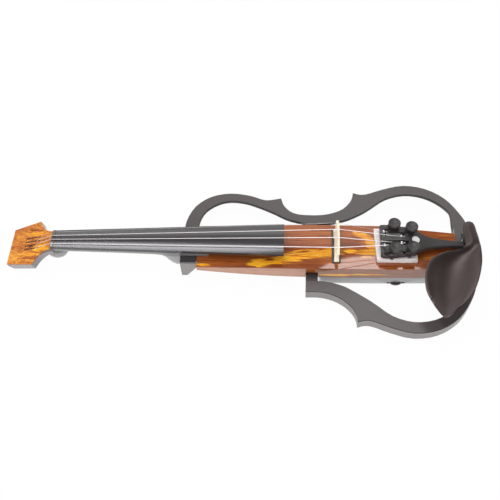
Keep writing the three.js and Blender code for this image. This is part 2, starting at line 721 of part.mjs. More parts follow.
function bridgePlate() {
  const base = PICKUP.height;
  const { halfTop, eyeRadius, eyeY } = BRIDGE;
  const crownHeight = (y) => BRIDGE_CROWN - drop(y, STRING_CURVE_RADIUS) - STRING_RADII.g - GAP;
  const rise = crownHeight(0) - base;
  const toPlate = (shares) => shares.map(([y, up]) => [halfTop * y, base + rise * up]);
  const side = toPlate(BRIDGE_SIDE_SHARES);
  const arch = toPlate(BRIDGE_ARCH_SHARES);
  const crownSteps = 12;
  const crown = Array.from({ length: crownSteps + 1 }, (_, i) => {
    const y = lerp(halfTop, -halfTop, i / crownSteps);
    return [y, crownHeight(y)];
  });
  const mirrored = (points) => points.map(([y, z]) => [-y, z]).reverse();
  const outline = [
    ...side, ...crown, ...mirrored(side), ...mirrored(arch), ...arch.slice(0, -1).reverse(),
  ];
  const heart = circle(0, base + rise * BRIDGE.heartShare, BRIDGE.heartRadius, 10);
  const eyes = [-1, 1].map((hand) => circle(hand * eyeY, base + rise * BRIDGE.eyeShare, eyeRadius, 10));
  const front = bridgeBase() - BRIDGE.thickness / 2;
  const rear = bridgeBase() + BRIDGE.thickness / 2;
  const plate = crossPrism(outline, front, rear, [heart, ...eyes]);
  const wedge = [
    [front, base], [rear, base], [rear, BRIDGE_CROWN], [rear - BRIDGE.crownThickness, BRIDGE_CROWN],
  ];
  const taper = loft([-halfTop - OVERRUN, halfTop + OVERRUN].map(
    (y) => wedge.map(([x, z]) => new THREE.Vector3(x, y, z)),
  ));
  return toGeometry(toSolid(plate).intersect(toSolid(taper)));
}

// Fingerboard: a tapered, arched bar, hollowed under the part that stands over the body
const FINGERBOARD = {
  archRadius: 42, edge: 4, nutCrown: 9.6, endClearance: 4.5, hollowStart: 184, hollowShare: 0.8, shell: 5,
};
function fingerboardSection(x) {
  const share = x / FINGERBOARD_LENGTH;
  const half = lerp(FINGERBOARD_NUT_WIDTH, FINGERBOARD_END_WIDTH, share) / 2;
  const stringAtEnd = lerp(NUT_CROWN, BRIDGE_CROWN, FINGERBOARD_LENGTH / STRING_LENGTH);
  const endCrown = stringAtEnd - FINGERBOARD.endClearance;
  const crown = lerp(FINGERBOARD.nutCrown, endCrown, share);
  const undersideAt = (width, top) => top - drop(width / 2, FINGERBOARD.archRadius) - FINGERBOARD.edge;
  const bottom = lerp(
    undersideAt(FINGERBOARD_NUT_WIDTH, FINGERBOARD.nutCrown),
    undersideAt(FINGERBOARD_END_WIDTH, endCrown),
    share,
  );
  return { half, crown, bottom };
}

function fingerboard() {
  const arcSteps = 8;
  const ringAt = (x) => {
    const { half, crown, bottom } = fingerboardSection(x);
    const arc = Array.from({ length: arcSteps + 1 }, (_, i) => {
      const y = lerp(-half, half, i / arcSteps);
      return new THREE.Vector3(x, y, crown - drop(y, FINGERBOARD.archRadius));
    });
    return [new THREE.Vector3(x, half, bottom), new THREE.Vector3(x, -half, bottom), ...arc];
  };
  const board = loft([ringAt(0), ringAt(FINGERBOARD_LENGTH)]);
  const hollowAt = (x) => {
    const { half, crown, bottom } = fingerboardSection(x);
    const wide = half * FINGERBOARD.hollowShare;
    const arc = Array.from({ length: arcSteps + 1 }, (_, i) => {
      const y = lerp(-wide, wide, i / arcSteps);
      return new THREE.Vector3(x, y, crown - FINGERBOARD.shell - drop(y, FINGERBOARD.archRadius));
    });
    const below = bottom - OVERRUN;
    return [new THREE.Vector3(x, wide, below), new THREE.Vector3(x, -wide, below), ...arc];
  };
  return cut(board, loft([hollowAt(FINGERBOARD.hollowStart), hollowAt(FINGERBOARD_LENGTH + OVERRUN)]));
}

// Points on the tilted face of the head: distance from the nut, across, and above the face
const HEAD = {
  startX: -4.3, startZ: 5.8, nutHalfWidth: 12.3, thickness: 10, backChamfer: 5, veneer: 1.6,
  widestShare: 0.375,
  flankSwell: 1.2, flankStep: 3,
};
const SLOT = { startShare: 0.3, endShare: 0.65, halfWidth: 1, spacing: 5.2, floor: 6, ballRadius: 0.75 };
function headPoint(along, across, above) {
  return new THREE.Vector3(
    HEAD.startX - along * Math.cos(HEAD_TILT) - above * Math.sin(HEAD_TILT),
    across,
    HEAD.startZ - along * Math.sin(HEAD_TILT) + above * Math.cos(HEAD_TILT),
  );
}

// Outline of the head: hollow flanks from the nut to the widest point, then a straight taper
function headOutline() {
  const widest = HEAD_LENGTH * HEAD.widestShare;
  const flank = new THREE.QuadraticBezierCurve(
    new THREE.Vector2(0, HEAD.nutHalfWidth),
    new THREE.Vector2(widest * 0.62, HEAD.nutHalfWidth + HEAD.flankSwell),
    new THREE.Vector2(widest * 0.93, HEAD_HALF_WIDTH - HEAD.flankStep),
  ).getPoints(7).map((point) => [point.x, point.y]);
  const half = [...flank, [widest, HEAD_HALF_WIDTH], [HEAD_LENGTH, HEAD_TIP_HALF_WIDTH]];
  return [...half.map(([along, across]) => [along, -across]), ...half.reverse()];
}

function headSlab(bottom, top) {
  const level = (above) => headOutline().map(([along, across]) => headPoint(along, across, above));
  return loftByTriangles(level(bottom), level(top));
}

// A slab between two copies of one outline that isn't convex
function loftByTriangles(lower, upper) {
  const flat = headOutline().map(([x, y]) => new THREE.Vector2(x, y));
  const faces = THREE.ShapeUtils.triangulateShape(flat, []);
  const count = lower.length;
  const positions = [...lower, ...upper].flatMap((point) => [point.x, point.y, point.z]);
  const index = [];
  faces.forEach(([a, b, c]) => index.push(a, c, b, a + count, b + count, c + count));
  for (let i = 0; i < count; i += 1) {
    const next = (i + 1) % count;
    index.push(i, next, next + count, i, next + count, i + count);
  }
  return facingOut(positions, index);
}

function headSlots() {
  const [start, end] = [SLOT.startShare, SLOT.endShare].map((share) => share * HEAD_LENGTH);
  return STRINGS.map((string, i) => {
    const y = (i - 1.5) * SLOT.spacing;
    const corners = [[start, -1], [start, 1], [end, 1], [end, -1]];
    const level = (above) => corners.map(
      ([along, hand]) => headPoint(along, y + hand * SLOT.halfWidth, above),
    );
    return loft([level(-SLOT.floor), level(OVERRUN)]);
  });
}

function headVeneer() {
  return cut(headSlab(-HEAD.veneer, 0), ...headSlots());
}

// Neck with the head's core: half round under the fingerboard, a bulb under the nut,
// a heel in front of the block and a flat root over the block and the body
const NECK = { rootEnd: 182, rootHalfWidth: 16, heelHalfWidth: 17.2, heelDepth: 34.6 };

// Sections of the neck: place as a share of the way to the block, half width and depth as
// shares of those at the heel, and how square the section is
const NECK_SHARES = [
  [-0.04, 0.698, 0.347, 2],
  [0, 0.698, 0.364, 2],
  [0.201, 0.744, 0.376, 2],
  [0.537, 0.849, 0.399, 2],
  [0.792, 0.93, 0.422, 2.1],
  [0.852, 0.953, 0.462, 2.2],
  [0.883, 0.965, 0.578, 2.5],
  [0.899, 0.977, 0.751, 2.8],
  [0.923, 0.988, 0.91, 3],
  [0.953, 1, 1, 3.2],
  [1, 1, 1, 3.2],
];
const BULB = { x: -1.5, z: -11.2, length: 13.6, halfWidth: 11.5, height: 13.2 };
function neck() {
  const underside = (x) => fingerboardSection(Math.max(x, 0)).bottom;
  const sectionSteps = 10;
  const rings = NECK_SHARES.map(([along, wide, deep, square]) => {
    const x = along * BLOCK.start;
    return Array.from({ length: sectionSteps + 1 }, (_, i) => {
      const angle = (i / sectionSteps) * Math.PI;
      const bend = (value) => Math.sign(value) * Math.abs(value) ** (2 / square);
      const y = NECK.heelHalfWidth * wide * bend(Math.cos(angle));
      return new THREE.Vector3(x, y, underside(x) - NECK.heelDepth * deep * bend(Math.sin(angle)));
    });
  });
  const bar = loft(rings);
  const rootRing = (x) => [[-1, 0], [1, 0], [1, 1], [-1, 1]].map(
    ([across, up]) => new THREE.Vector3(x, across * NECK.rootHalfWidth, up * underside(x)),
  );
  const root = loft([rootRing(BLOCK.start - OVERRUN), rootRing(NECK.rootEnd)]);
  const bulb = new THREE.SphereGeometry(1, 18, 10).scale(BULB.length, BULB.halfWidth, BULB.height);
  bulb.translate(BULB.x, 0, BULB.z);
  const head = headSlab(-HEAD.thickness, -HEAD.veneer - FIT);
  const nutSeat = block(
    [-FINGERBOARD_NUT_WIDTH, 0], [-HEAD_HALF_WIDTH, HEAD_HALF_WIDTH], [underside(0), BRIDGE_CROWN],
  );
  const backEdge = HEAD_LENGTH - HEAD.backChamfer;
  const chamferCorners = [
    [backEdge, -HEAD.thickness - GAP], [HEAD_LENGTH + GAP, -HEAD.thickness + HEAD.backChamfer],
    [HEAD_LENGTH + OVERRUN, -HEAD.thickness - OVERRUN],
  ];
  const chamfer = loft([-HEAD_HALF_WIDTH - OVERRUN, HEAD_HALF_WIDTH + OVERRUN].map(
    (across) => chamferCorners.map(([along, above]) => headPoint(along, across, above)),
  ));
  const bores = neckBoltPlaces().map(([x, y]) => neckBoltBore(x, y));
  const faceCorners = [
    [0, -HEAD_HALF_WIDTH], [0, HEAD_HALF_WIDTH],
    [HEAD_LENGTH, HEAD_HALF_WIDTH], [HEAD_LENGTH, -HEAD_HALF_WIDTH],
  ];
  const faceCut = loft([-FIT, OVERRUN * 4].map(
    (above) => faceCorners.map(([along, across]) => headPoint(along, across, above - HEAD.veneer)),
  ));
  return cut(join(bar, root, bulb, head), nutSeat, chamfer, faceCut, ...headSlots(), ...bores);
}

// Nut: an arched black bridge for the strings at the top of the fingerboard
const NUT = { thickness: 3.6 };
function nut() {
  const base = fingerboardSection(0).bottom;
  const half = FINGERBOARD_NUT_WIDTH / 2;
  const top = (y) => NUT_CROWN - drop(y, STRING_CURVE_RADIUS) - STRING_RADII.g - STRING_SEAT;
  const steps = 10;
  const arc = Array.from({ length: steps + 1 }, (_, i) => {
    const y = lerp(half, -half, i / steps);
    return [y, top(y)];
  });
  return crossPrism([[-half, base], [half, base], ...arc], -NUT.thickness, 0);
}

// Block that ties the neck's heel, the frame's upper bout and the slab together
const BLOCK = {
  start: 149, end: 167.6, flatEnd: 155.5, halfWidth: 26, chamfer: 6.5, rearDepth: 16, topChamfer: 1,
  bossHalf: 14,
};
function heelBlock() {
  const section = (x, depth) => {
    const { halfWidth, chamfer, topChamfer } = BLOCK;
    const half = [
      [halfWidth - topChamfer, 0], [halfWidth, -topChamfer], [halfWidth, chamfer - depth],
      [halfWidth - chamfer, -depth],
    ];
    const ring = [...half, ...half.map(([y, z]) => [-y, z]).reverse()];
    return ring.map(([y, z]) => new THREE.Vector3(x, y, z));
  };
  const body = loft([
    section(BLOCK.start, BACK_DEPTH),
    section(BLOCK.flatEnd, BACK_DEPTH),
    section(BLOCK.end, BLOCK.rearDepth),
  ]);
  const { bossHalf } = BLOCK;
  const boss = block([BLOCK.end - GAP, BODY_START], [-bossHalf, bossHalf], [-bossHalf, -VENEER]);
  return cut(join(body, boss), ...neckBoltPlaces().map(([x, y]) => neckBoltBore(x, y)));
}

// Two bolts rise from the underside of the block into the neck's root
const NECK_BOLT = { radius: 2, headRadius: 4, headDepth: 3, tip: 5.2, recess: 1, spacing: 16, x: 154.5 };
function neckBoltPlaces() {
  return [[NECK_BOLT.x, -NECK_BOLT.spacing / 2], [NECK_BOLT.x, NECK_BOLT.spacing / 2]];
}

function neckBoltBore(x, y) {
  const seat = -BACK_DEPTH + NECK_BOLT.recess + NECK_BOLT.headDepth + FIT;
  return turned([
    [0, -BACK_DEPTH - OVERRUN], [NECK_BOLT.headRadius + FIT, -BACK_DEPTH - OVERRUN],
    [NECK_BOLT.headRadius + FIT, seat], [NECK_BOLT.radius + FIT, seat],
    [NECK_BOLT.radius + FIT, NECK_BOLT.tip + GAP], [0, NECK_BOLT.tip + GAP],
  ], 16).translate(x, y, 0);
}

function neckBolt() {
  const { radius, headRadius, headDepth, recess, tip } = NECK_BOLT;
  const low = -BACK_DEPTH + recess;
  return turned([
    [0, low + headDepth / 2], [radius * 0.8, low + headDepth / 2], [radius * 0.8, low], [headRadius, low],
    [headRadius, low + headDepth], [radius, low + headDepth], [radius, tip], [0, tip],
  ], 12);
}

// Frame rails: each ring stands across the rail, from its outer to its inner edge
function railRings(outerRuns, innerKeys, side) {
  const steps = 3;
  const sample = (keys) => new THREE.CatmullRomCurve3(
    keys.map(([x, y]) => new THREE.Vector3(x, y, 0)), false, "centripetal",
  ).getPoints((keys.length - 1) * steps);
  const outer = outerRuns.flatMap((run, i) => sample(run).slice(i ? 1 : 0));
  const inner = sample(innerKeys);
  const { chamfer, innerDepth, soffitShare } = RAIL;
  return outer.map((out, i) => {
    const width = out.distanceTo(inner[i]);
    const section = [
      [chamfer, 0], [width - chamfer, 0], [width, -chamfer], [width, -innerDepth],
      [width * soffitShare, -FRAME_DEPTH], [0, -FRAME_DEPTH], [0, -chamfer],
    ];
    return section.map(([across, z]) => {
      const point = out.clone().lerp(inner[i], across / width);
      return new THREE.Vector3(point.x, side * point.y, FRAME_TOP + z);
    });
  });
}

const sideways = (share) => BODY_HALF_WIDTH + share * (FRAME_HALF_WIDTH - BODY_HALF_WIDTH);
const toFrame = ([xOut, yOut, xIn, yIn]) => [
  FRAME_START + xOut * FRAME_LENGTH, sideways(yOut), FRAME_START + xIn * FRAME_LENGTH, sideways(yIn),
];

// Tail block: a bar behind the slab that both rails meet, with a tongue for saddle and button
const TAIL = {
  jointY: 31, tongueHalf: 11, top: -2, cheekDepth: 8,
  ...placedBehind(BODY_END, { start: 0.8, barEnd: 8, tongueEnd: 22, railEnd: 22.6 }),
};
function frameRail(side) {
  const upper = side > 0 ? TREBLE_UPPER_SHARES.map(toFrame) : [];
  const waist = (side > 0 ? TREBLE_WAIST_SHARES : BASS_WAIST_SHARES).map(toFrame);
  const lower = LOWER_BOUT_SHARES.map(toFrame);
  const first = side > 0
    ? [FRAME_START, BLOCK.halfWidth, FRAME_START + RAIL.endWidth, BLOCK.halfWidth]
    : toFrame([BRACKET.startShare, RAIL.bassOuterShare, BRACKET.startShare, RAIL.bassInnerShare]);
  const last = [TAIL.railEnd, TAIL.jointY, TAIL.start + GAP, TAIL.jointY];
  const rows = [first, ...upper, ...waist, ...lower, last];
  const corners = side > 0 ? [upper.length, upper.length + waist.length] : [waist.length];
  const outerKeys = rows.map(([x, y]) => [x, y]);
  const bounds = [0, ...corners, rows.length - 1];
  const runs = corners.concat(0).map((_, i) => outerKeys.slice(bounds[i], bounds[i + 1] + 1));
  const rail = loft(railRings(runs, rows.map((row) => row.slice(2)), side));
  return join(rail, railTab(side));
}

// Tab that reaches from the rail to the bracket in the side of the slab
function railTab(side) {
  const reach = sideways(side > 0 ? RAIL.trebleInnerShare : RAIL.bassInnerShare);
  const y = [bracketReach(), reach + OVERRUN];
  const z = [FRAME_TOP - RAIL.innerDepth + RAIL.chamfer, FRAME_TOP - FIT];
  return block(
    [BRACKET.start, BRACKET.start + BRACKET.length], side > 0 ? y : [-y[1], -y[0]], z,
  );
}

function bracketReach() {
  return BODY_HALF_WIDTH + BRACKET.reach;
}

function bracket(side) {
  const y = [BODY_HALF_WIDTH - BRACKET.depth, bracketReach()];
  const { start, length, top, bottom } = BRACKET;
  return block([start, start + length], side > 0 ? y : [-y[1], -y[0]], [bottom, top]);
}

function tailBlock() {
  const floor = FRAME_TOP - FRAME_DEPTH;
  const bar = block([TAIL.start, TAIL.barEnd], [-TAIL.jointY, TAIL.jointY], [floor, TAIL.top]);
  const seat = block(
    [BODY_END, TAIL.start + GAP], [-TAIL.tongueHalf, TAIL.tongueHalf], [floor / 1.5, -TAIL.cheekDepth],
  );
  const tongue = block([TAIL.start, TAIL.tongueEnd], [-TAIL.tongueHalf, TAIL.tongueHalf], [floor, TAIL.top]);
  const bore = rod(
    "x", TAIL.tongueEnd - BUTTON.pinLength - GAP, TAIL.tongueEnd + OVERRUN,
    { z: BUTTON.z }, BUTTON.pinRadius + FIT, 16,
  );
  return cut(join(bar, seat, tongue), bore);
}

// Saddle: the hard sill that the tailgut bends over
const SADDLE = { length: 4, height: 5.2, halfWidth: 8, round: 1.6 };
function saddle() {
  const start = TAIL.tongueEnd - SADDLE.length;
  const high = TAIL.top + SADDLE.height;
  const end = TAIL.tongueEnd;
  const { round } = SADDLE;
  const profile = [
    [start, TAIL.top], [end, TAIL.top], [end, high - round], [end - round * 0.3, high - round * 0.3],
    [end - round, high], [start + round * 0.6, high], [start, high - round * 0.6],
  ];
  return loft([-SADDLE.halfWidth, SADDLE.halfWidth].map(
    (y) => profile.map(([x, z]) => new THREE.Vector3(x, y, z)),
  ));
}

// Button that the tailgut loops round
const BUTTON = {
  z: -12.5, pinRadius: 3, pinLength: 9, neckRadius: 3.6, neckLength: 3.4, radius: 7.2, headLength: 4,
};
function endButton() {
  const { pinRadius, pinLength, neckRadius, neckLength, radius, headLength } = BUTTON;
  const face = neckLength + headLength;
  return turned([
    [0, -pinLength], [pinRadius, -pinLength], [pinRadius, 0], [neckRadius, 0], [neckRadius, neckLength],
    [radius, neckLength + headLength / 4], [radius, face - headLength / 4], [radius * 0.75, face],
    [0, face],
  ], 16).rotateY(Math.PI / 2).translate(TAIL.tongueEnd, 0, BUTTON.z);
}

// Tailgut: from the tailpiece over the saddle and round the end button's neck, and back
const GUT = { radius: 0.8, halfSpacing: 2.1, z: 6.2, insert: 6 };
function tailgut() {
  const tailEnd = TAILPIECE_START + TAILPIECE_LENGTH;
  const saddleTop = TAIL.top + SADDLE.height + GUT.radius + STRING_SEAT;
  const groove = BUTTON.neckRadius + GUT.radius + GAP;
  const dropX = TAIL.tongueEnd + GUT.radius + GAP;
  const held = [tailEnd - GUT.insert, tailEnd];
  const half = [
    new THREE.Vector3(TAIL.tongueEnd - SADDLE.length / 2, GUT.halfSpacing * 1.6, saddleTop + FIT),
    new THREE.Vector3(TAIL.tongueEnd + GUT.radius / 2, groove * 0.85, saddleTop - GUT.radius),
    new THREE.Vector3(dropX, groove * 0.97, TAIL.top - OVERRUN),
    new THREE.Vector3(dropX, groove, BUTTON.z),
    new THREE.Vector3(dropX, groove * Math.SQRT1_2, BUTTON.z - groove * Math.SQRT1_2),
  ];
  const lowest = new THREE.Vector3(dropX, 0, BUTTON.z - groove);
  const other = half.map((point) => new THREE.Vector3(point.x, -point.y, point.z)).reverse();
  const heldAt = (side) => held.map(
    (x) => new THREE.Vector3(x, TAILPIECE_SHIFT + side * GUT.halfSpacing, GUT.z),
  );
  const path = new THREE.CatmullRomCurve3(
    [...heldAt(1), ...half, lowest, ...other, ...heldAt(-1).reverse()], false, "centripetal",
  );
  return tube(path, GUT.radius, 42);
}

// Tuners: each knob's screw presses the rear arm of a lever whose fork holds a string
const TUNER = {
  knobRadius: 7.1, knobHeight: 4.8, knobFoot: 1.4, knobEdge: 1, knobRim: 0.8, knobDish: 0.35,
  screwRadius: 1.9, bossRadius: 5.2, bossRise: 2, arm: 10, armTop: 0.2, armThickness: 2,
  armHalfWidth: 1.8, forkBack: 2, forkThickness: 1.8, forkHalfWidth: 1.6, barrelRadius: 2,
  pinRadius: 1, slotHalf: 0.62, slotRelief: 0.4, tipHeight: 1.2, tipRadius: 1.6,
  ballGap: 1.15, ballRadius: 1.25, ballSeat: 0.7,
};
const TUNER_ROWS = {
  outer: {
    knobY: 16.5, knobTop: 25.6, forkY: 9.5, stringZ: 16.7, pivotZ: 10.9,
    ...placedBehind(TAILPIECE_START, { knobX: 16 }),
  },
  inner: {
    knobY: 13.7, knobTop: 23.6, forkY: 4.5, stringZ: 14.8, pivotZ: 10.6,
    ...placedBehind(TAILPIECE_START, { knobX: 35.7 }),
  },
};
const TUNERS = STRINGS.map((string) => {
  const row = string.outer ? TUNER_ROWS.outer : TUNER_ROWS.inner;
  const pivotX = row.knobX - TUNER.arm;
  return {
    string,
    side: string.side,
    knobX: row.knobX,
    knobY: string.side * row.knobY,
    knobTop: row.knobTop,
    forkX: pivotX - TUNER.forkBack,
    forkY: string.side * row.forkY,
    pivotX,
    pivotZ: row.pivotZ,
    armTop: row.pivotZ + TUNER.armTop,
    stringZ: row.stringZ,
  };
});

// Knob with a dished face and the screw under it
function tunerKnob({ knobTop, armTop }) {
  const { knobRadius, knobHeight, knobFoot, knobEdge, knobRim, knobDish, screwRadius } = TUNER;
  const base = knobTop - knobHeight;
  const tip = armTop + GAP + TUNER.tipHeight;
  const face = knobRadius - knobEdge;
  return turned([
    [0, tip], [screwRadius, tip], [screwRadius, base], [knobRadius - knobFoot, base],
    [knobRadius, base + knobFoot], [knobRadius, knobTop - knobEdge], [face, knobTop],
    [face - knobRim, knobTop - knobDish], [0, knobTop - knobDish],
  ], 20);
}

// Steel point of the screw: it moves with the screw but doesn't turn
function tunerTip({ armTop }) {
  const low = armTop + GAP;
  return turned([
    [0, low], [TUNER.tipRadius - FIT, low], [TUNER.tipRadius, low + TUNER.tipHeight / 2],
    [TUNER.tipRadius, low + TUNER.tipHeight], [0, low + TUNER.tipHeight],
  ], 12);
}

// Lever: forked finger, barrel on the pivot pin and flat arm under the screw
function tunerLever({ side, knobX, knobY, forkX, forkY, pivotX, pivotZ, armTop, stringZ }) {
  const { forkThickness, forkHalfWidth, barrelRadius, armThickness, armHalfWidth } = TUNER;
  const forkTop = stringZ + TUNER.ballRadius * 0.8;
  const finger = block(
    [forkX - forkThickness / 2, forkX + forkThickness / 2], [forkY - forkHalfWidth, forkY + forkHalfWidth],
    [pivotZ, forkTop],
  );
  const web = block(
    [forkX - forkThickness / 2, pivotX], [forkY - forkHalfWidth, forkY + forkHalfWidth],
    [pivotZ - barrelRadius, pivotZ + barrelRadius / 2],
  );
  const ends = [forkY - side * forkHalfWidth, side * barrelReach(pivotX)].sort((a, b) => a - b);
  const barrel = rod("y", ends[0], ends[1], { x: pivotX, z: pivotZ }, barrelRadius, 14);
  const arm = block(
    [pivotX, knobX + TUNER.tipRadius], [knobY - armHalfWidth, knobY + armHalfWidth],
    [armTop - armThickness, armTop],
  );
  const notch = block(
    [forkX - OVERRUN, forkX + forkThickness], [forkY - TUNER.slotHalf, forkY + TUNER.slotHalf],
    [stringZ - TUNER.slotHalf - TUNER.slotRelief, forkTop + OVERRUN],
  );
  const bore = rod(
    "y", ends[0] - OVERRUN, ends[1] + OVERRUN, { x: pivotX, z: pivotZ }, TUNER.pinRadius + FIT, 12,
  );
  return cut(join(finger, web, barrel, arm), notch, bore);
}

// How far out a lever's barrel reaches, inside the tailpiece's side wall
function barrelReach(x) {
  return tailpieceAt(x).half - TAILPIECE.wall - GAP;
}

// Tailpiece: a crowned shell with a boss round each screw, a raised guard beside each
// outer fork, long slots for the forks, and notches in its edges over the levers' barrels
const TAILPIECE = {
  plate: 2.2, wall: 1.8, shoulder: 1.5, crownRadius: 150,
  slotFront: 2.1, innerSlotEnd: 31.8, outerSlotEnd: 9.6,
  ribHalf: 2.3, innerSlotHalf: 8.9, outerSlotHalf: 11.7, pocketEnd: 54.8,
  notchFront: 4, notchRear: 3.6, notchDepth: 1.3, notchRim: 2, knobRoom: 0.6,
  lobeBehind: 6.4, lobeInset: 1.8, lobeRadius: 3.3, lobeDrop: 0.5, lobeRise: 2.4,
  discRadius: 4.5, discThickness: 0.9, ...placedBehind(TAILPIECE_START, { discX: 39.9 }),
};
const GUARD = {
  y: 13.4, z: 15.2, halfLength: 5.4, halfWidth: 6, height: 4.8,
  ...placedBehind(TAILPIECE_START, { x: 7.8 }),
};

// Cross sections of the tailpiece along its length
function tailpieceStations() {
  const steps = (TAILPIECE_SHARES.length - 1) * 2;
  const curveOf = (level) => {
    const keys = TAILPIECE_SHARES.map((row) => new THREE.Vector3(
      TAILPIECE_START + row[0] * TAILPIECE_LENGTH,
      row[1] * TAILPIECE_HALF_WIDTH,
      row[level] * TAILPIECE_TOP,
    ));
    return new THREE.CatmullRomCurve3(keys, false, "catmullrom", 0.5).getPoints(steps);
  };
  const lower = curveOf(3);
  return curveOf(2).map(({ x, y, z }, i) => ({ x, half: y, top: z, bottom: lower[i].z }));
}

// Half width, crown and lower edge of the tailpiece at any place along it
function tailpieceAt(x) {
  const stations = tailpieceStations();
  const found = Math.max(stations.findIndex((station) => station.x > x), 1);
  const next = Math.min(found, stations.length - 1);
  const [a, b] = [stations[next - 1], stations[next]];
  const between = (value) => lerp(a[value], b[value], (x - a.x) / (b.x - a.x));
  return { half: between("half"), top: between("top"), bottom: between("bottom") };
}

function tailpieceSurface(x, y) {
  return tailpieceAt(x).top - drop(y, TAILPIECE.crownRadius);
}

function tailpieceRing({ x, half, top, bottom }) {
  const { shoulder, crownRadius } = TAILPIECE;
  const steps = 4;
  const crownHalf = half - shoulder;
  const crown = Array.from({ length: steps + 1 }, (_, i) => {
    const y = lerp(-crownHalf, crownHalf, i / steps);
    return new THREE.Vector3(x, y, top - drop(y, crownRadius));
  });
  const edge = top - drop(half, crownRadius) - shoulder;
  return [
    new THREE.Vector3(x, half, edge), new THREE.Vector3(x, half, bottom),
    new THREE.Vector3(x, -half, bottom), new THREE.Vector3(x, -half, edge), ...crown,
  ];
}

function pocketRing({ x, half, top, bottom }) {
  const { wall, plate, crownRadius } = TAILPIECE;
  const inner = half - wall;
  const low = bottom - OVERRUN;
  const high = top - plate;
  const fall = drop(inner, crownRadius);
  const corners = [
    [-inner, low], [inner, low], [inner, high - fall], [0, high], [-inner, high - fall],
  ];
  return corners.map(([y, z]) => new THREE.Vector3(x, y, z));
}

// Raised guards beside the outer forks
function tailpieceGuards() {
  return [-1, 1].map((side) => new THREE.SphereGeometry(1, 16, 10)
    .scale(GUARD.halfLength, GUARD.halfWidth, GUARD.height)
    .translate(GUARD.x, side * GUARD.y, GUARD.z));
}

// Round lobes on the edges, one behind each lever's barrel
function tailpieceLobes() {
  return TUNERS.map(({ side, pivotX, pivotZ }) => {
    const x = pivotX + TAILPIECE.lobeBehind;
    const { half, bottom } = tailpieceAt(x);
    const y = side * (half - TAILPIECE.lobeInset);
    const [low, high] = [bottom - TAILPIECE.lobeDrop, pivotZ + TAILPIECE.lobeRise];
    return rod("z", low, high, { x, y }, TAILPIECE.lobeRadius, 16);
  });
}

// Bosses that the screws run in
function tailpieceBosses() {
  return TUNERS.map(({ knobX, knobY }) => {
    const surface = tailpieceSurface(knobX, knobY);
    const low = surface - TAILPIECE.plate + FIT;
    return rod("z", low, surface + TUNER.bossRise, { x: knobX, y: knobY }, TUNER.bossRadius, 20);
  });
}

function tailpieceShell() {
  const { wall, plate, pocketEnd, ribHalf } = TAILPIECE;
  const stations = tailpieceStations();
  const pocketed = stations.filter(
    ({ x }) => x > TAILPIECE_START + wall && x < TAILPIECE_START + pocketEnd,
  );
  const ribEnds = [stations[0], ...pocketed].map(({ x, top, bottom }) => [
    [-ribHalf, bottom], [ribHalf, bottom], [ribHalf, top - plate / 2], [-ribHalf, top - plate / 2],
  ].map(([y, z]) => new THREE.Vector3(x, y, z)));
  const outside = join(loft(stations.map(tailpieceRing)), ...tailpieceGuards(), ...tailpieceLobes());
  const hollowed = cut(outside, loft(pocketed.map(pocketRing)));
  return join(hollowed, loft(ribEnds.slice(0, -1)), ...tailpieceBosses());
}

function tailpiece() {
  const { slotFront, ribHalf, notchFront, notchRear, notchDepth, notchRim } = TAILPIECE;
  const start = TAILPIECE_START;
  const end = TAILPIECE_START + TAILPIECE_LENGTH;
  const below = tailpieceAt(start).bottom - OVERRUN;
  const above = GUARD.z + GUARD.height + OVERRUN;
  const across = (side, from, to) => [side * from, side * to].sort((a, b) => a - b);
  const slotSizes = [
    [TAILPIECE.outerSlotEnd, TAILPIECE.outerSlotHalf], [TAILPIECE.innerSlotEnd, TAILPIECE.innerSlotHalf],
  ];
  const slots = [-1, 1].flatMap((side) => slotSizes.map(([length, half]) => block(
    [start + slotFront, start + length], across(side, ribHalf, half), [below, above],
  )));
  const notches = TUNERS.map(({ side, pivotX, pivotZ }) => block(
    [pivotX - notchFront, pivotX + notchRear],
    across(side, barrelReach(pivotX) - notchDepth, TAILPIECE_HALF_WIDTH + OVERRUN),
    [pivotZ + notchRim, above],
  ));
  const knobRooms = TUNERS.map(({ knobX, knobY, knobTop }) => rod(
    "z", tailpieceSurface(knobX, knobY) + TUNER.bossRise, knobTop,
    { x: knobX, y: knobY }, TUNER.knobRadius + TAILPIECE.knobRoom, 24,
  ));
  const screwBores = TUNERS.map(({ knobX, knobY }) => rod(
    "z", below, above, { x: knobX, y: knobY }, TUNER.screwRadius + FIT, 16,
  ));
  const pinBores = pinPlaces().map(({ x, z, reach }) => rod(
    "y", -reach - FIT, reach + FIT, { x, z }, TUNER.pinRadius + FIT / 2, 12,
  ));
  const gutBores = [-1, 1].map((side) => rod(
    "x", end - GUT.insert - GAP, end + OVERRUN,
    { y: side * GUT.halfSpacing, z: GUT.z }, GUT.radius + GAP, 10,
  ));
  return cut(
    tailpieceShell(),
    ...slots, ...notches, ...knobRooms, ...screwBores, ...pinBores, ...gutBores, discPocket(),
  );
}

// Pivot pins: one under each row of forks, ending inside the tailpiece's side walls
function pinPlaces() {
  return [TUNER_ROWS.outer, TUNER_ROWS.inner].map((row) => {
    const x = row.knobX - TUNER.arm;
    return { x, z: row.pivotZ, reach: tailpieceAt(x).half - TAILPIECE.wall / 2 };
  });
}

function pivotPin({ x, z, reach }) {
  return rod("y", -reach, reach, { x, z }, TUNER.pinRadius, 12);
}

// Fall of the tailpiece's crown under the disc
function discSlope() {
  const { discX, discRadius } = TAILPIECE;
  const fall = tailpieceAt(discX - discRadius).top - tailpieceAt(discX + discRadius).top;
  return Math.atan2(fall, discRadius * 2);
}

function discPocket() {
  const { discX, discRadius, discThickness } = TAILPIECE;
  const pocket = rod("z", -discThickness / 2, OVERRUN, {}, discRadius + GAP, 24);
  return pocket.rotateY(discSlope()).translate(discX, 0, tailpieceAt(discX).top);
}

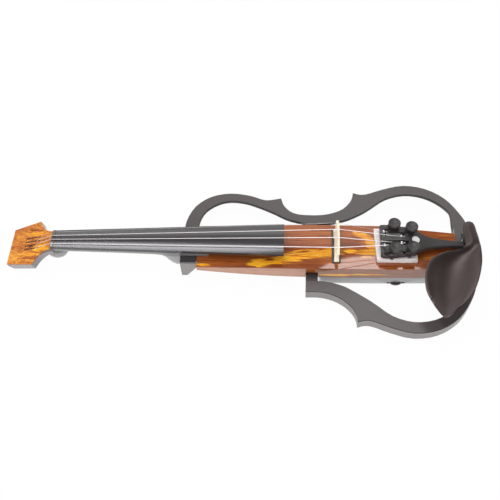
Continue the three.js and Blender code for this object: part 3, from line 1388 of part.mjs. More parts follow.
function tailpieceDisc() {
  const { discRadius, discThickness } = TAILPIECE;
  const half = discThickness / 2;
  return turned([
    [0, -half], [discRadius, -half], [discRadius, half - FIT], [discRadius - FIT, half], [0, half],
  ], 20);
}

// Strings: ball end in its slot, over the nut and bridge, down to a lever's fork
function stringWire(string, i) {
  const tuner = TUNERS[i];
  const slotY = (i - 1.5) * SLOT.spacing;
  const ball = headPoint(HEAD_LENGTH * (SLOT.startShare + SLOT.endShare) / 2, slotY, -SLOT.floor / 2);
  const lip = headPoint(HEAD_LENGTH * SLOT.startShare + SLOT.halfWidth, slotY, GAP);
  const nutBack = string.nut.clone();
  nutBack.x = -NUT.thickness;
  const forkY = tuner.forkY + TAILPIECE_SHIFT;
  const fork = new THREE.Vector3(tuner.forkX, forkY, tuner.stringZ);
  const ballX = tuner.forkX + TUNER.forkThickness / 2 + TUNER.ballGap + TUNER.ballRadius;
  const tailBall = new THREE.Vector3(ballX, forkY, tuner.stringZ);
  const points = [ball, lip, nutBack, string.nut, string.bridge, fork, tailBall];
  const balls = [[ball, SLOT.ballRadius], [tailBall, TUNER.ballRadius]].map(
    ([place, radius]) => new THREE.SphereGeometry(radius, 8, 5).translate(place.x, place.y, place.z),
  );
  return join(wire(points, string.radius), ...balls);
}

// Foam sheet that keeps the tailpiece from rattling on the top
const FOAM = {
  bass: -21.4, treble: 22.8, thickness: 6.2, crownShare: 0.15, corner: 1, skew: 2,
  ...placedBehind(TAILPIECE_START, { start: -6, end: 42.4 }),
};
function foamPad() {
  const { start, end, bass, treble, thickness, crownShare, corner, skew } = FOAM;
  const crown = thickness * crownShare;
  const level = (inset, z) => [
    [start + skew + inset + corner, bass + inset], [end - inset - corner, bass + inset],
    [end - inset, bass + inset + corner], [end - inset, treble - inset - corner],
    [end - inset - corner, treble - inset], [start + inset + corner, treble - inset],
    [start + inset, treble - inset - corner], [start + skew + inset, bass + inset + corner],
  ].map(([x, y]) => new THREE.Vector3(x, y, z));
  return loft([level(0, 0), level(0, thickness - crown), level(crown, thickness)]);
}

// Chinrest: a hollowed cup on the bass side with a crowned tongue across the tail
const CHINREST = {
  edge: 3.6, belly: 1.8, lip: 1.1, footInner: 6, footOuter: 10.6, footShare: 0.72, bossShare: 0.66,
  ...placedBehind(BODY_END, { footFront: 9.6, footRear: 17.2 }),
};
function chinrestRows() {
  const place = (x, y, z) => new THREE.Vector3(
    CHINREST_START + x * CHINREST_LENGTH, y * CHINREST_REACH, z * CHINREST_RIM,
  );
  const rows = CHINREST_SHARES.map(([xl, yl, xr, yr, rim, dish]) => ({
    left: place(xl, yl, rim),
    right: place(xr, yr, dish),
  }));
  const steps = (rows.length - 1) * 2;
  const lefts = new THREE.CatmullRomCurve3(rows.map((row) => row.left)).getPoints(steps);
  const rights = new THREE.CatmullRomCurve3(rows.map((row) => row.right)).getPoints(steps);
  return lefts.map((left, i) => ({ left, right: rights[i], rim: left.z, dish: rights[i].z }));
}

function chinrestCup() {
  const topShares = [0, 0.07, 0.22, 0.5, 0.78, 0.93, 1];
  const lowShares = [0.95, 0.7, 0.3, 0.05];
  const rings = chinrestRows().map(({ left, right, rim, dish }) => {
    const at = (share, z) => new THREE.Vector3(
      lerp(left.x, right.x, share), lerp(left.y, right.y, share), z,
    );
    const height = (share) => rim - dish * Math.sin(Math.PI * share) ** 1.3;
    const top = topShares.map((share) => {
      const atEdge = share === 0 || share === 1;
      return at(share, height(share) - (atEdge ? CHINREST.lip : 0));
    });
    const low = lowShares.map((share) => at(
      share, height(share) - CHINREST.edge - CHINREST.belly * Math.sin(Math.PI * share),
    ));
    return [...top, ...low];
  });
  const { footFront, footRear, footInner, footOuter } = CHINREST;
  const feet = [-1, 1].map((side) => {
    const y = [side * footInner, side * footOuter].sort((a, b) => a - b);
    return block([footFront, footRear], y, [TAIL.top, CHINREST_RIM * CHINREST.footShare]);
  });
  const bosses = [-1, 1].map((side) => rod(
    "z", CLAMP.upperEnd, CHINREST_RIM * CHINREST.bossShare,
    { x: CLAMP.x, y: side * CLAMP.halfSpacing }, CLAMP.bossRadius, 16,
  ));
  return join(loft(rings), ...feet, ...bosses);
}

// Clamp: two turnbuckle posts draw the chinrest down and a bracket up under the tail block
const CLAMP = {
  halfSpacing: 19.5, screwRadius: 1.6, barrelRadius: 3.6, barrelLow: -20, barrelHigh: 1, barrelEdge: 0.6,
  upperEnd: 9.4, bossRadius: 4, plate: 2, plateHalf: 23.5, holeRadius: 1,
  ...placedBehind(BODY_END, { x: 14.6, plateFront: 2.2, plateRear: 18.6 }),
};
function clampPost() {
  const { screwRadius, barrelRadius, barrelLow, barrelHigh, barrelEdge, upperEnd } = CLAMP;
  const low = FRAME_TOP - FRAME_DEPTH;
  const post = turned([
    [0, low], [screwRadius, low], [screwRadius, barrelLow], [barrelRadius - barrelEdge, barrelLow],
    [barrelRadius, barrelLow + barrelEdge], [barrelRadius, barrelHigh - barrelEdge],
    [barrelRadius - barrelEdge, barrelHigh], [screwRadius, barrelHigh], [screwRadius, upperEnd],
    [0, upperEnd],
  ], 12);
  const middle = (barrelLow + barrelHigh) / 2;
  const holes = [-1, 1].map((hand) => rod(
    "y", -barrelRadius - OVERRUN, barrelRadius + OVERRUN,
    { z: middle + hand * barrelRadius }, CLAMP.holeRadius, 10,
  ));
  return cut(post, ...holes);
}

function clampBracket() {
  const high = FRAME_TOP - FRAME_DEPTH;
  const { plateFront, plateRear, plateHalf, plate } = CLAMP;
  const outline = [
    [plateFront, -plateHalf], [plateRear - plate, -plateHalf], [plateRear, plate - plateHalf],
    [plateRear, plateHalf - plate], [plateRear - plate, plateHalf], [plateFront, plateHalf],
    [plateFront, CLAMP.halfSpacing - plate * 2], [TAIL.barEnd + plate, plateHalf / 2],
    [TAIL.barEnd + plate, -plateHalf / 2], [plateFront, plate * 2 - CLAMP.halfSpacing],
  ];
  return prism(outline, high - plate, high);
}

// Assembly: bodies that move are groups placed on their own axes
function assemble() {
  const instrument = new THREE.Group();
  const add = (name, geometry, finish, place = [0, 0, 0]) => {
    const mesh = named(name, geometry, finish);
    mesh.position.set(...place);
    instrument.add(mesh);
    return mesh;
  };
  add("body_core", bodyCore(), "wood");
  add("top_plate", topPlate(), "veneer");
  add("lower_housing", lowerHousing(), "gloss");
  SCREW_PLACES.forEach(([corner, x, y]) => {
    add(`housing_screw_${corner}`, housingScrew(), "steel", [x, y, SCREW.recess - BACK_DEPTH]);
  });
  add("battery_door", batteryDoor(), "gloss");
  add("battery", battery(), "battery");
  add("circuit_board", circuitBoard(), "board");
  add("volume_pot", volumePot(), "steel");
  add("volume_wheel", volumeWheel(), "composite", [WHEEL.x, WHEEL.y, 0]);
  add("output_jack", socket(OUTPUT_JACK), "steel");
  add("phones_jack", socket(PHONES_JACK), "steel");
  add("pickup_bar", pickupBar(), "composite");
  add("pickup_lead", pickupLead(), "composite");
  add("bridge", bridgePlate(), "maple");
  add("fingerboard", fingerboard(), "ebony");
  add("neck", neck(), "gloss");
  add("head_veneer", headVeneer(), "veneer");
  add("nut", nut(), "ebony");
  add("heel_block", heelBlock(), "gloss");
  neckBoltPlaces().forEach(([x, y], i) => {
    add(`neck_bolt_${["bass", "treble"][i]}`, neckBolt(), "steel", [x, y, 0]);
  });
  add("frame_treble", frameRail(1), "frame");
  add("frame_bass", frameRail(-1), "frame");
  add("bracket_treble", bracket(1), "composite");
  add("bracket_bass", bracket(-1), "composite");
  add("tail_block", tailBlock(), "frame");
  add("saddle", saddle(), "ebony");
  add("end_button", endButton(), "ebony");
  add("tailgut", tailgut(), "composite");
  add("tailpiece", tailpiece(), "composite", [0, TAILPIECE_SHIFT, 0]);
  const disc = add("tailpiece_disc", tailpieceDisc(), "disc", [
    TAILPIECE.discX, TAILPIECE_SHIFT, tailpieceAt(TAILPIECE.discX).top + TAILPIECE.discThickness / 2,
  ]);
  disc.rotation.y = discSlope();
  add("foam_pad", foamPad(), "foam");
  pinPlaces().forEach((place, i) => {
    add(`pivot_pin_${["front", "rear"][i]}`, pivotPin(place), "steel", [0, TAILPIECE_SHIFT, 0]);
  });
  TUNERS.forEach((tuner) => {
    const { name } = tuner.string;
    const axis = [tuner.knobX, TAILPIECE_SHIFT + tuner.knobY, 0];
    add(`tuner_knob_${name}`, tunerKnob(tuner), "composite", axis);
    add(`tuner_tip_${name}`, tunerTip(tuner), "steel", axis);
    add(`tuner_lever_${name}`, tunerLever(tuner), "steel", [0, TAILPIECE_SHIFT, 0]);
  });
  STRINGS.forEach((string, i) => add(`string_${string.name}`, stringWire(string, i), "steel"));
  add("chinrest_cup", chinrestCup(), "chinrest");
  ["bass", "treble"].forEach((hand, i) => {
    add(`chinrest_post_${hand}`, clampPost(), "steel", [CLAMP.x, (i ? 1 : -1) * CLAMP.halfSpacing, 0]);
  });
  add("chinrest_bracket", clampBracket(), "steel");
  return instrument;
}

// The part stands on its back, with its origin under the middle of its outline
const part = new THREE.Group();
const instrument = assemble();
part.add(instrument);
part.updateMatrixWorld(true);
const bounds = new THREE.Box3().setFromObject(instrument, true);
const centre = bounds.getCenter(new THREE.Vector3());
instrument.position.set(-centre.x, -centre.y, -bounds.min.z);

export default part;
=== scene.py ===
import json
import math

import bmesh
import bpy
from mathutils import Matrix, Quaternion, Vector, noise


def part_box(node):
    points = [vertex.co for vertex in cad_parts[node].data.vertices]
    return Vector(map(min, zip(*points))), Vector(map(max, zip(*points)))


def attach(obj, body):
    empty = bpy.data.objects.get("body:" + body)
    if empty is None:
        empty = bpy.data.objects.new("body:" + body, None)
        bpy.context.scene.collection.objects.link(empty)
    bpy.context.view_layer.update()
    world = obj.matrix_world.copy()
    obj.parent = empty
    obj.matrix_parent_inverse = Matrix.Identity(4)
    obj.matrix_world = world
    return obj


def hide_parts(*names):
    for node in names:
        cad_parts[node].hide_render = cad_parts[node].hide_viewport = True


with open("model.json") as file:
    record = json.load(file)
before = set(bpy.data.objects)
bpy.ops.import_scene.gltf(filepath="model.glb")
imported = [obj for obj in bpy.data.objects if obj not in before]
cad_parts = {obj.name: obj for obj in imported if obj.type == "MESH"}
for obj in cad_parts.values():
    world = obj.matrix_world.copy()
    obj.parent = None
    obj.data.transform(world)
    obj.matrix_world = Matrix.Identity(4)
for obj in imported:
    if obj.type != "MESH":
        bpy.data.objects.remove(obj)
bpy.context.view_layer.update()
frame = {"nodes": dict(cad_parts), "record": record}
scene = bpy.context.scene
scene.view_settings.view_transform = "Standard"

# Row frame place of the instrument's own zero: front edge of the nut, centre line, face of the top
ORIGIN = Vector((-0.218846, 0.0, 0.0325))
BODIES = frame["record"]["behaviour"]["bodies"]
BODY_OF = {node: body for body, nodes in BODIES.items() for node in nodes}


def at(x, y, z):
    """A point given in the instrument's millimetres, in the row frame's metres."""
    return ORIGIN + Vector((x, y, z)) / 1000


# Camera, fitted to the photograph's view with its slight roll: angles in degrees, target in the
# instrument's millimetres, distance and clipping in metres, focal length in the photograph's pixels
AZIMUTH, ELEVATION, ROLL = 5.71, 55.86, -3.85
TARGET, DISTANCE = (229.36, -6.51, 0), 0.8925
FOCAL_PX, PHOTO_PX, SENSOR_MM = 769.85, 500, 36
CLIP_NEAR, CLIP_FAR = 0.05, 50


def make_camera():
    azimuth, elevation, roll = (math.radians(angle) for angle in (AZIMUTH, ELEVATION, ROLL))
    back = Vector((
        math.sin(azimuth) * math.cos(elevation),
        -math.cos(azimuth) * math.cos(elevation),
        math.sin(elevation),
    ))
    level = (-back).cross(Vector((0, 0, 1))).normalized()
    upright = level.cross(-back)
    right = math.cos(roll) * level + math.sin(roll) * upright
    up = -math.sin(roll) * level + math.cos(roll) * upright
    data = bpy.data.cameras.new("camera")
    data.sensor_width = SENSOR_MM
    data.lens = FOCAL_PX * SENSOR_MM / PHOTO_PX
    data.clip_start = CLIP_NEAR
    data.clip_end = CLIP_FAR
    camera = bpy.data.objects.new("camera", data)
    scene.collection.objects.link(camera)
    rotation = Matrix((right, up, back)).transposed()
    camera.matrix_world = Matrix.Translation(at(*TARGET) + back * DISTANCE) @ rotation.to_4x4()
    scene.camera = camera


make_camera()


# Materials
class Nodes:
    """Short calls for building one material's node tree."""

    def __init__(self, name):
        self.mat = bpy.data.materials.new(name)
        self.mat.use_nodes = True
        self.tree = self.mat.node_tree
        self.tree.nodes.clear()
        self.out = self.add("ShaderNodeOutputMaterial")
        places = self.add("ShaderNodeTexCoord")
        self.coords = places.outputs["Object"]
        self.facing = places.outputs["Normal"]

    def add(self, kind, **settings):
        node = self.tree.nodes.new(kind)
        for key, value in settings.items():
            setattr(node, key, value)
        return node

    def put(self, value, socket):
        if isinstance(value, bpy.types.NodeSocket):
            self.tree.links.new(value, socket)
        else:
            socket.default_value = value

    def stretch(self, scale, place=(0, 0, 0), turn=0.0):
        """Coordinates turned in plan, then stretched along each axis."""
        vector = self.coords
        if turn:
            node = self.add("ShaderNodeVectorRotate", rotation_type="Z_AXIS")
            self.put(vector, node.inputs["Vector"])
            node.inputs["Angle"].default_value = turn
            vector = node.outputs[0]
        node = self.add("ShaderNodeMapping")
        self.put(vector, node.inputs["Vector"])
        node.inputs["Scale"].default_value = scale
        node.inputs["Location"].default_value = place
        return node.outputs[0]

    def noise(self, vector, scale=1, detail=4, rough=0.55, distort=0):
        node = self.add("ShaderNodeTexNoise")
        self.put(vector, node.inputs["Vector"])
        node.inputs["Scale"].default_value = scale
        node.inputs["Detail"].default_value = detail
        node.inputs["Roughness"].default_value = rough
        node.inputs["Distortion"].default_value = distort
        return node.outputs["Fac"]

    def math(self, kind, a, b=0.0, clamp=False):
        node = self.add("ShaderNodeMath", operation=kind, use_clamp=clamp)
        self.put(a, node.inputs[0])
        self.put(b, node.inputs[1])
        return node.outputs[0]

    def product(self, *values):
        """All values multiplied."""
        first, *rest = values
        for value in rest:
            first = self.math("MULTIPLY", first, value)
        return first

    def total(self, *parts):
        """The sum of each value times its share."""
        (value, share), *rest = parts
        result = self.math("MULTIPLY", value, share)
        for value, share in rest:
            result = self.math("ADD", result, self.math("MULTIPLY", value, share))
        return result

    def step(self, value, low, high, bottom=0.0, top=1.0):
        """Smooth passage from bottom to top while the value goes from low to high."""
        node = self.add("ShaderNodeMapRange", interpolation_type="SMOOTHSTEP")
        self.put(value, node.inputs["Value"])
        limits = {"From Min": low, "From Max": high, "To Min": bottom, "To Max": top}
        for key, number in limits.items():
            node.inputs[key].default_value = number
        return node.outputs["Result"]

    def ramp(self, factor, stops):
        node = self.add("ShaderNodeValToRGB")
        self.put(factor, node.inputs["Fac"])
        ramp = node.color_ramp
        while len(ramp.elements) < len(stops):
            ramp.elements.new(0.5)
        for element, (place, colour) in zip(ramp.elements, stops):
            element.position = place
            element.color = (*colour, 1)
        return node.outputs["Color"]

    def grey(self, factor, low, high):
        """A number that goes from low to high while the factor goes from 0 to 1."""
        node = self.add("ShaderNodeMapRange")
        self.put(factor, node.inputs["Value"])
        node.inputs["To Min"].default_value = low
        node.inputs["To Max"].default_value = high
        return node.outputs["Result"]

    def put_colour(self, colour, socket):
        self.put(colour if isinstance(colour, bpy.types.NodeSocket) else (*colour, 1), socket)

    def blend(self, factor, a, b, kind="MIX"):
        node = self.add("ShaderNodeMix", data_type="RGBA", blend_type=kind)
        self.put(factor, node.inputs["Factor"])
        self.put_colour(a, node.inputs["A"])
        self.put_colour(b, node.inputs["B"])
        return node.outputs["Result"]

    def bump(self, height, strength, distance):
        node = self.add("ShaderNodeBump")
        self.put(height, node.inputs["Height"])
        node.inputs["Strength"].default_value = strength
        node.inputs["Distance"].default_value = distance
        return node.outputs["Normal"]

    def axis(self, vector, name):
        """The X, Y or Z part of a vector."""
        node = self.add("ShaderNodeSeparateXYZ")
        self.put(vector, node.inputs[0])
        return node.outputs[name]

    def spot(self, centre, radii, tilt=0.0):
        """1 in the middle of an ellipsoid given in mm, tilted in plan, falling to 0 at its skin."""
        node = self.add("ShaderNodeMapping", vector_type="TEXTURE")
        self.put(self.coords, node.inputs["Vector"])
        node.inputs["Location"].default_value = at(*centre)
        node.inputs["Rotation"].default_value = (0, 0, math.radians(tilt))
        node.inputs["Scale"].default_value = [radius / 1000 for radius in radii]
        length = self.add("ShaderNodeVectorMath", operation="LENGTH")
        self.put(node.outputs[0], length.inputs[0])
        return self.math("SUBTRACT", 1.0, length.outputs["Value"], clamp=True)

    def shader(self, colour, rough, metal=0.0, normal=None, **more):
        node = self.add("ShaderNodeBsdfPrincipled")
        self.put_colour(colour, node.inputs["Base Color"])
        self.put(rough, node.inputs["Roughness"])
        node.inputs["Metallic"].default_value = metal
        if normal is not None:
            self.put(normal, node.inputs["Normal"])
        for key, value in more.items():
            node.inputs[key.replace("_", " ")].default_value = value
        self.put(node.outputs[0], self.out.inputs["Surface"])
        return self.mat


# Colours of the figured veneer, from the darkest vein to the brightest wood, and of its blazes
VENEER_COLOURS = [
    (0.00, (0.030, 0.007, 0.003)), (0.20, (0.105, 0.020, 0.006)), (0.36, (0.230, 0.050, 0.012)),
    (0.52, (0.430, 0.120, 0.024)), (0.66, (0.700, 0.245, 0.035)), (0.82, (0.930, 0.470, 0.060)),
    (1.00, (1.000, 0.700, 0.160)),
]
GOLD_COLOURS = [
    (0.36, (0.560, 0.140, 0.008)), (0.45, (1.000, 0.350, 0.012)), (0.55, (1.000, 0.510, 0.030)),
    (0.68, (1.000, 0.720, 0.090)),
]
# Figure of the body's top and of the head: centre x y, half length and half width in mm, tilt in
# degrees, strength; more than 0 is a golden blaze, less than 0 a dark vein
BODY_FIGURE = [
    ((176, -28.2), (12, 2.4), 1, 1.0), ((244, -24), (22, 7.5), 5, 1.2),
    ((270, -19), (36, 7.5), 10, 1.0), ((298, -11), (42, 8.5), 4, 0.74),
    ((320, -9), (24, 8.0), 4, 0.7), ((345, -6), (10, 4.0), 0, 1.0),
    ((364, -9), (18, 8.0), 0, 0.7), ((361, 15.5), (17, 5.5), -22, 0.8),
    ((371, 3), (12, 9.0), -35, 0.7), ((442, -12), (30, 4.5), 10, 0.1),
    ((304, -26), (26, 5.0), 0, -0.06), ((455, -20), (34, 9.0), 6, -0.14),
    ((346, 5), (16, 7.0), 0, -0.12),
]
HEAD_FIGURE = [
    ((-14, -8), (18, 9.0), -8, 0.9), ((-30, 14), (26, 5.0), -10, 0.5),
    ((-40, -14), (24, 5.0), -10, 0.7), ((-46, 4), (20, 4.0), -10, 0.5),
    ((-42, -4), (34, 4.5), -10, -0.26), ((-30, -20), (26, 4.5), -10, -0.20),
    ((-40, 20), (28, 4.0), -10, -0.22), ((-52, -28), (26, 3.5), -10, -0.14),
]
# How far below the top face the figure reaches, in mm
FIGURE_DEPTH = 8
# Noise fields of the veneer: features per metre along each axis, offset, detail, roughness and
# distortion
VENEER_FIELDS = {
    "broad": ((9, 60, 60), (1, 2, 0), 3, 0.5, 0.5),
    "streak": ((20, 520, 520), (3, 1, 2), 7, 0.68, 0.7),
    "fine": ((80, 2200, 2200), (0, 4, 1), 4, 0.65, 0.3),
    "flame": ((70, 520, 520), (7, 5, 1), 6, 0.72, 0.6),
    "torn": ((42, 300, 300), (4, 8, 3), 5, 0.66, 0.6),
}
# Shares of three of them in the plain wood's tone, half their sum, and the tone in the middle
BROAD_SHARE, STREAK_SHARE, FINE_SHARE, HALF_SUM, MID_TONE = 0.34, 0.56, 0.22, 0.56, 0.42
# How the torn field frays the edges of the figure: its own range, and the factor it makes
TORN_RANGE, TORN_FACTOR = (0.36, 0.62), (0.25, 1.8)
# Golden streaks low on the slab's bass side: centre, half sizes in mm, strength
SIDE_STREAKS = [
    ((330, -30, -13), (26, 9, 3.0), 1.0), ((362, -30, -11.5), (28, 9, 2.4), 0.8),
]
# Pale tone of the slab's side faces: a painted reflection of the white floor over the grain
SIDE_COLOURS = [(0.36, (0.33, 0.160, 0.100)), (0.62, (0.60, 0.330, 0.220))]
# Behind the brackets the sides' painted reflection is darkened as painted shade, from one place
# along the slab to the other
SIDE_SHADE = (0.62, 0.52, 0.50)
SHADE_RANGE = at(306, 0, 0).x, at(312, 0, 0).x
# The sides' pale painted reflection starts a little below the top face
SIDE_HEIGHTS = at(0, 0, -1.2).z, at(0, 0, -2.4).z
# Recesses of the two brackets, left without the sides' painted reflection so that they stay dark as
# painted shade
RECESSES = [((300, -24, -10), (10, 5.2, 20)), ((300, 24, -10), (10, 5.2, 20))]
# Ranges of a face's upward part, from -1 to 1, over which a top or an underside turns into a side
VENEER_TOP_EDGE, VENEER_LOW_EDGE = (0.62, 0.30), (-0.85, -0.5)
# Ranges of a spot's height, 0 at its rim and 1 in the middle, over which a figure, a golden streak
# and a recess pass into the wood around them
FIGURE_RIM, STREAK_RIM, RECESS_RIM = (0.10, 0.50), (0.05, 0.5), (0.14, 0.02)


def figured(name, figure, turn=0.0, bias=0.0, rich=1.0, streaks=(), clear=1.0):
    """Glossy figured veneer: fine streaks along the grain, jagged golden blazes and dark veins."""
    n = Nodes(name)
    field = {
        key: n.noise(n.stretch(scale, place, math.radians(turn)), 1, *texture)
        for key, (scale, place, *texture) in VENEER_FIELDS.items()
    }
    streak, fine = field["streak"], field["fine"]
    ragged = n.step(field["torn"], *TORN_RANGE, *TORN_FACTOR)
    gold_colour = n.ramp(field["flame"], GOLD_COLOURS)
    value = n.total(
        (field["broad"], BROAD_SHARE * rich),
        (streak, STREAK_SHARE * rich),
        (fine, FINE_SHARE * rich),
    )
    value = n.math("ADD", value, MID_TONE - HALF_SUM * rich + bias)
    gold = 0.0
    for (x, y), (long, wide), tilt, strength in figure:
        edge = n.product(n.spot((x, y, 0), (long, wide, FIGURE_DEPTH), tilt), ragged)
        edge = n.step(edge, *FIGURE_RIM, 0.0, strength)
        if strength < 0:
            value = n.math("ADD", value, edge)
        else:
            gold = n.math("MAXIMUM", gold, edge, clamp=True)
    colour = n.blend(gold, n.ramp(value, VENEER_COLOURS), gold_colour)
    upward = n.axis(n.facing, "Z")
    # Where the side's painted reflection goes: side faces below the top's edge, but not the
    # brackets' recesses, which stay dark as painted shade
    side = n.product(
        n.step(upward, *VENEER_TOP_EDGE), n.step(upward, *VENEER_LOW_EDGE),
        n.step(n.axis(n.coords, "Z"), *SIDE_HEIGHTS),
        *(n.step(n.spot(centre, radii), *RECESS_RIM) for centre, radii in RECESSES),
    )
    # Side faces take a pale tone: painted reflection of the white floor over the grain
    pale = n.ramp(n.total((fine, 0.5), (streak, 0.5)), SIDE_COLOURS)
    # Behind the brackets the painted reflection is darkened: painted shade
    shaded = n.step(n.axis(n.coords, "X"), *SHADE_RANGE)
    pale = n.blend(shaded, pale, n.blend(1.0, pale, SIDE_SHADE, "MULTIPLY"))
    for centre, radii, strength in streaks:
        edge = n.product(n.spot(centre, radii), ragged)
        pale = n.blend(n.step(edge, *STREAK_RIM, 0.0, strength), pale, gold_colour)
    return n.shader(
        n.blend(side, colour, pale), n.grey(streak, low=0.20, high=0.32),
        normal=n.bump(fine, strength=0.06, distance=0.0002),
        Coat_Weight=clear, Coat_Roughness=0.03, Coat_IOR=1.6, Specular_IOR_Level=0.05,
    )


# Ranges of a face's upward part over which a lacquered top turns into the line along its edge, the
# line into a side, and a side into the underside
LINE_EDGE, LACQUER_TOP_EDGE, LACQUER_LOW_EDGE = (0.96, 0.80), (0.40, 0.15), (-0.80, -0.50)
# Range of place times facing, in metres, over which an inner side turns into an outer one
OUTWARD_EDGE = (-0.004, 0.004)


def lacquer(
    name, colour, rough, coat=0.0, coat_rough=0.05, speckle=0.05, dust=0.0002,
    sides=None, line=None, inner=None, below=None,
):
    """Painted or moulded surface with faint mottling and orange peel.

    Where sides is given, side faces take that colour, and the edge between top and side the
    colour line. Sides that face the instrument's middle take the colour inner, if there is one.
    On the black frame, heel block and housing these colours by facing are painted light: light
    sides a painted reflection of the white floor, dark lines and inner sides painted shade.
    With below, a height in mm, the side colour starts there and covers the underside too.
    """
    n = Nodes(name)
    peel = n.noise(n.coords, scale=900, detail=3, rough=0.5)
    cloud = n.noise(n.coords, scale=14, detail=4, rough=0.55)
    contrast = speckle * 3
    tone = n.blend(
        cloud, tuple(c * (1 - contrast) for c in colour), tuple(c * (1 + contrast) for c in colour),
    )
    if sides:
        upward = n.axis(n.facing, "Z")
        tone = n.blend(n.step(upward, *LINE_EDGE), tone, line)
        if below is None:
            limit = n.step(upward, *LACQUER_LOW_EDGE)
        else:
            limit = n.step(n.axis(n.coords, "Z"), at(0, 0, below).z, at(0, 0, below - 1).z)
        steep = n.product(n.step(upward, *LACQUER_TOP_EDGE), limit)
        if inner:
            outward = n.product(n.axis(n.coords, "Y"), n.axis(n.facing, "Y"))
            sides = n.blend(n.step(outward, *OUTWARD_EDGE), inner, sides)
        tone = n.blend(steep, tone, sides)
    return n.shader(
        tone, n.grey(cloud, low=rough * 0.85, high=rough * 1.15),
        normal=n.bump(peel, strength=0.12, distance=dust),
        Coat_Weight=coat, Coat_Roughness=coat_rough,
    )


def timber(name, light, dark, rough, scale, flecks=0.5, shine=0.5, glint=(1, 1, 1)):
    """Plain grained wood: long fine pores over soft bands."""
    n = Nodes(name)
    bands = n.noise(n.stretch(scale), detail=4, rough=0.6, distort=0.8)
    pores = n.noise(n.stretch(tuple(s * 5 for s in scale), (2, 3, 4)), detail=5, rough=0.7)
    tone = n.ramp(bands, [(0.3, dark), (0.7, light)])
    pore_mask = n.ramp(pores, [(0.34, (flecks,) * 3), (0.46, (1, 1, 1))])
    tone = n.blend(1.0, tone, pore_mask, "MULTIPLY")
    return n.shader(
        tone, n.grey(pores, low=rough * 1.2, high=rough * 0.85),
        normal=n.bump(pores, strength=0.08, distance=0.0002),
        Specular_IOR_Level=shine, Specular_Tint=(*glint, 1),
    )


def metal(name, colour, rough, brushed=(400, 400, 400)):
    """Metal with fine brushed lines."""
    n = Nodes(name)
    lines = n.noise(n.stretch(brushed), detail=4, rough=0.6)
    tone = n.blend(n.math("MULTIPLY", lines, 0.5), colour, tuple(c * 0.7 for c in colour))
    return n.shader(
        tone, n.grey(lines, low=rough * 0.6, high=rough * 1.5), metal=1.0,
        normal=n.bump(lines, strength=0.05, distance=0.0001),
    )


# A band texture's repeat is this over its scale, in metres
BAND_REPEAT = 0.31416


def wound(name, colour, pitch):
    """Round string with the fine thread of its winding, its pitch in metres."""
    n = Nodes(name)
    wave = n.add("ShaderNodeTexWave", wave_type="BANDS", bands_direction="X", wave_profile="SIN")
    n.put(n.coords, wave.inputs["Vector"])
    wave.inputs["Scale"].default_value = BAND_REPEAT / pitch
    tone = n.blend(wave.outputs["Fac"], tuple(c * 0.92 for c in colour), colour)
    thread = n.bump(wave.outputs["Fac"], strength=0.06, distance=pitch * 0.1)
    return n.shader(tone, rough=0.30, metal=1.0, normal=thread)


def foam_material():
    """Pale open foam with small cells."""
    n = Nodes("foam")
    cells = n.add("ShaderNodeTexVoronoi")
    n.put(n.coords, cells.inputs["Vector"])
    cells.inputs["Scale"].default_value = 1500
    cloud = n.noise(n.coords, scale=160, detail=5, rough=0.6)
    tone = n.ramp(cloud, [(0.3, (0.85, 0.80, 0.79)), (0.7, (0.93, 0.88, 0.87))])
    return n.shader(
        tone, rough=0.95, normal=n.bump(cells.outputs["Distance"], strength=0.5, distance=0.0006),
        Subsurface_Weight=0.2, Subsurface_Scale=0.001,
    )


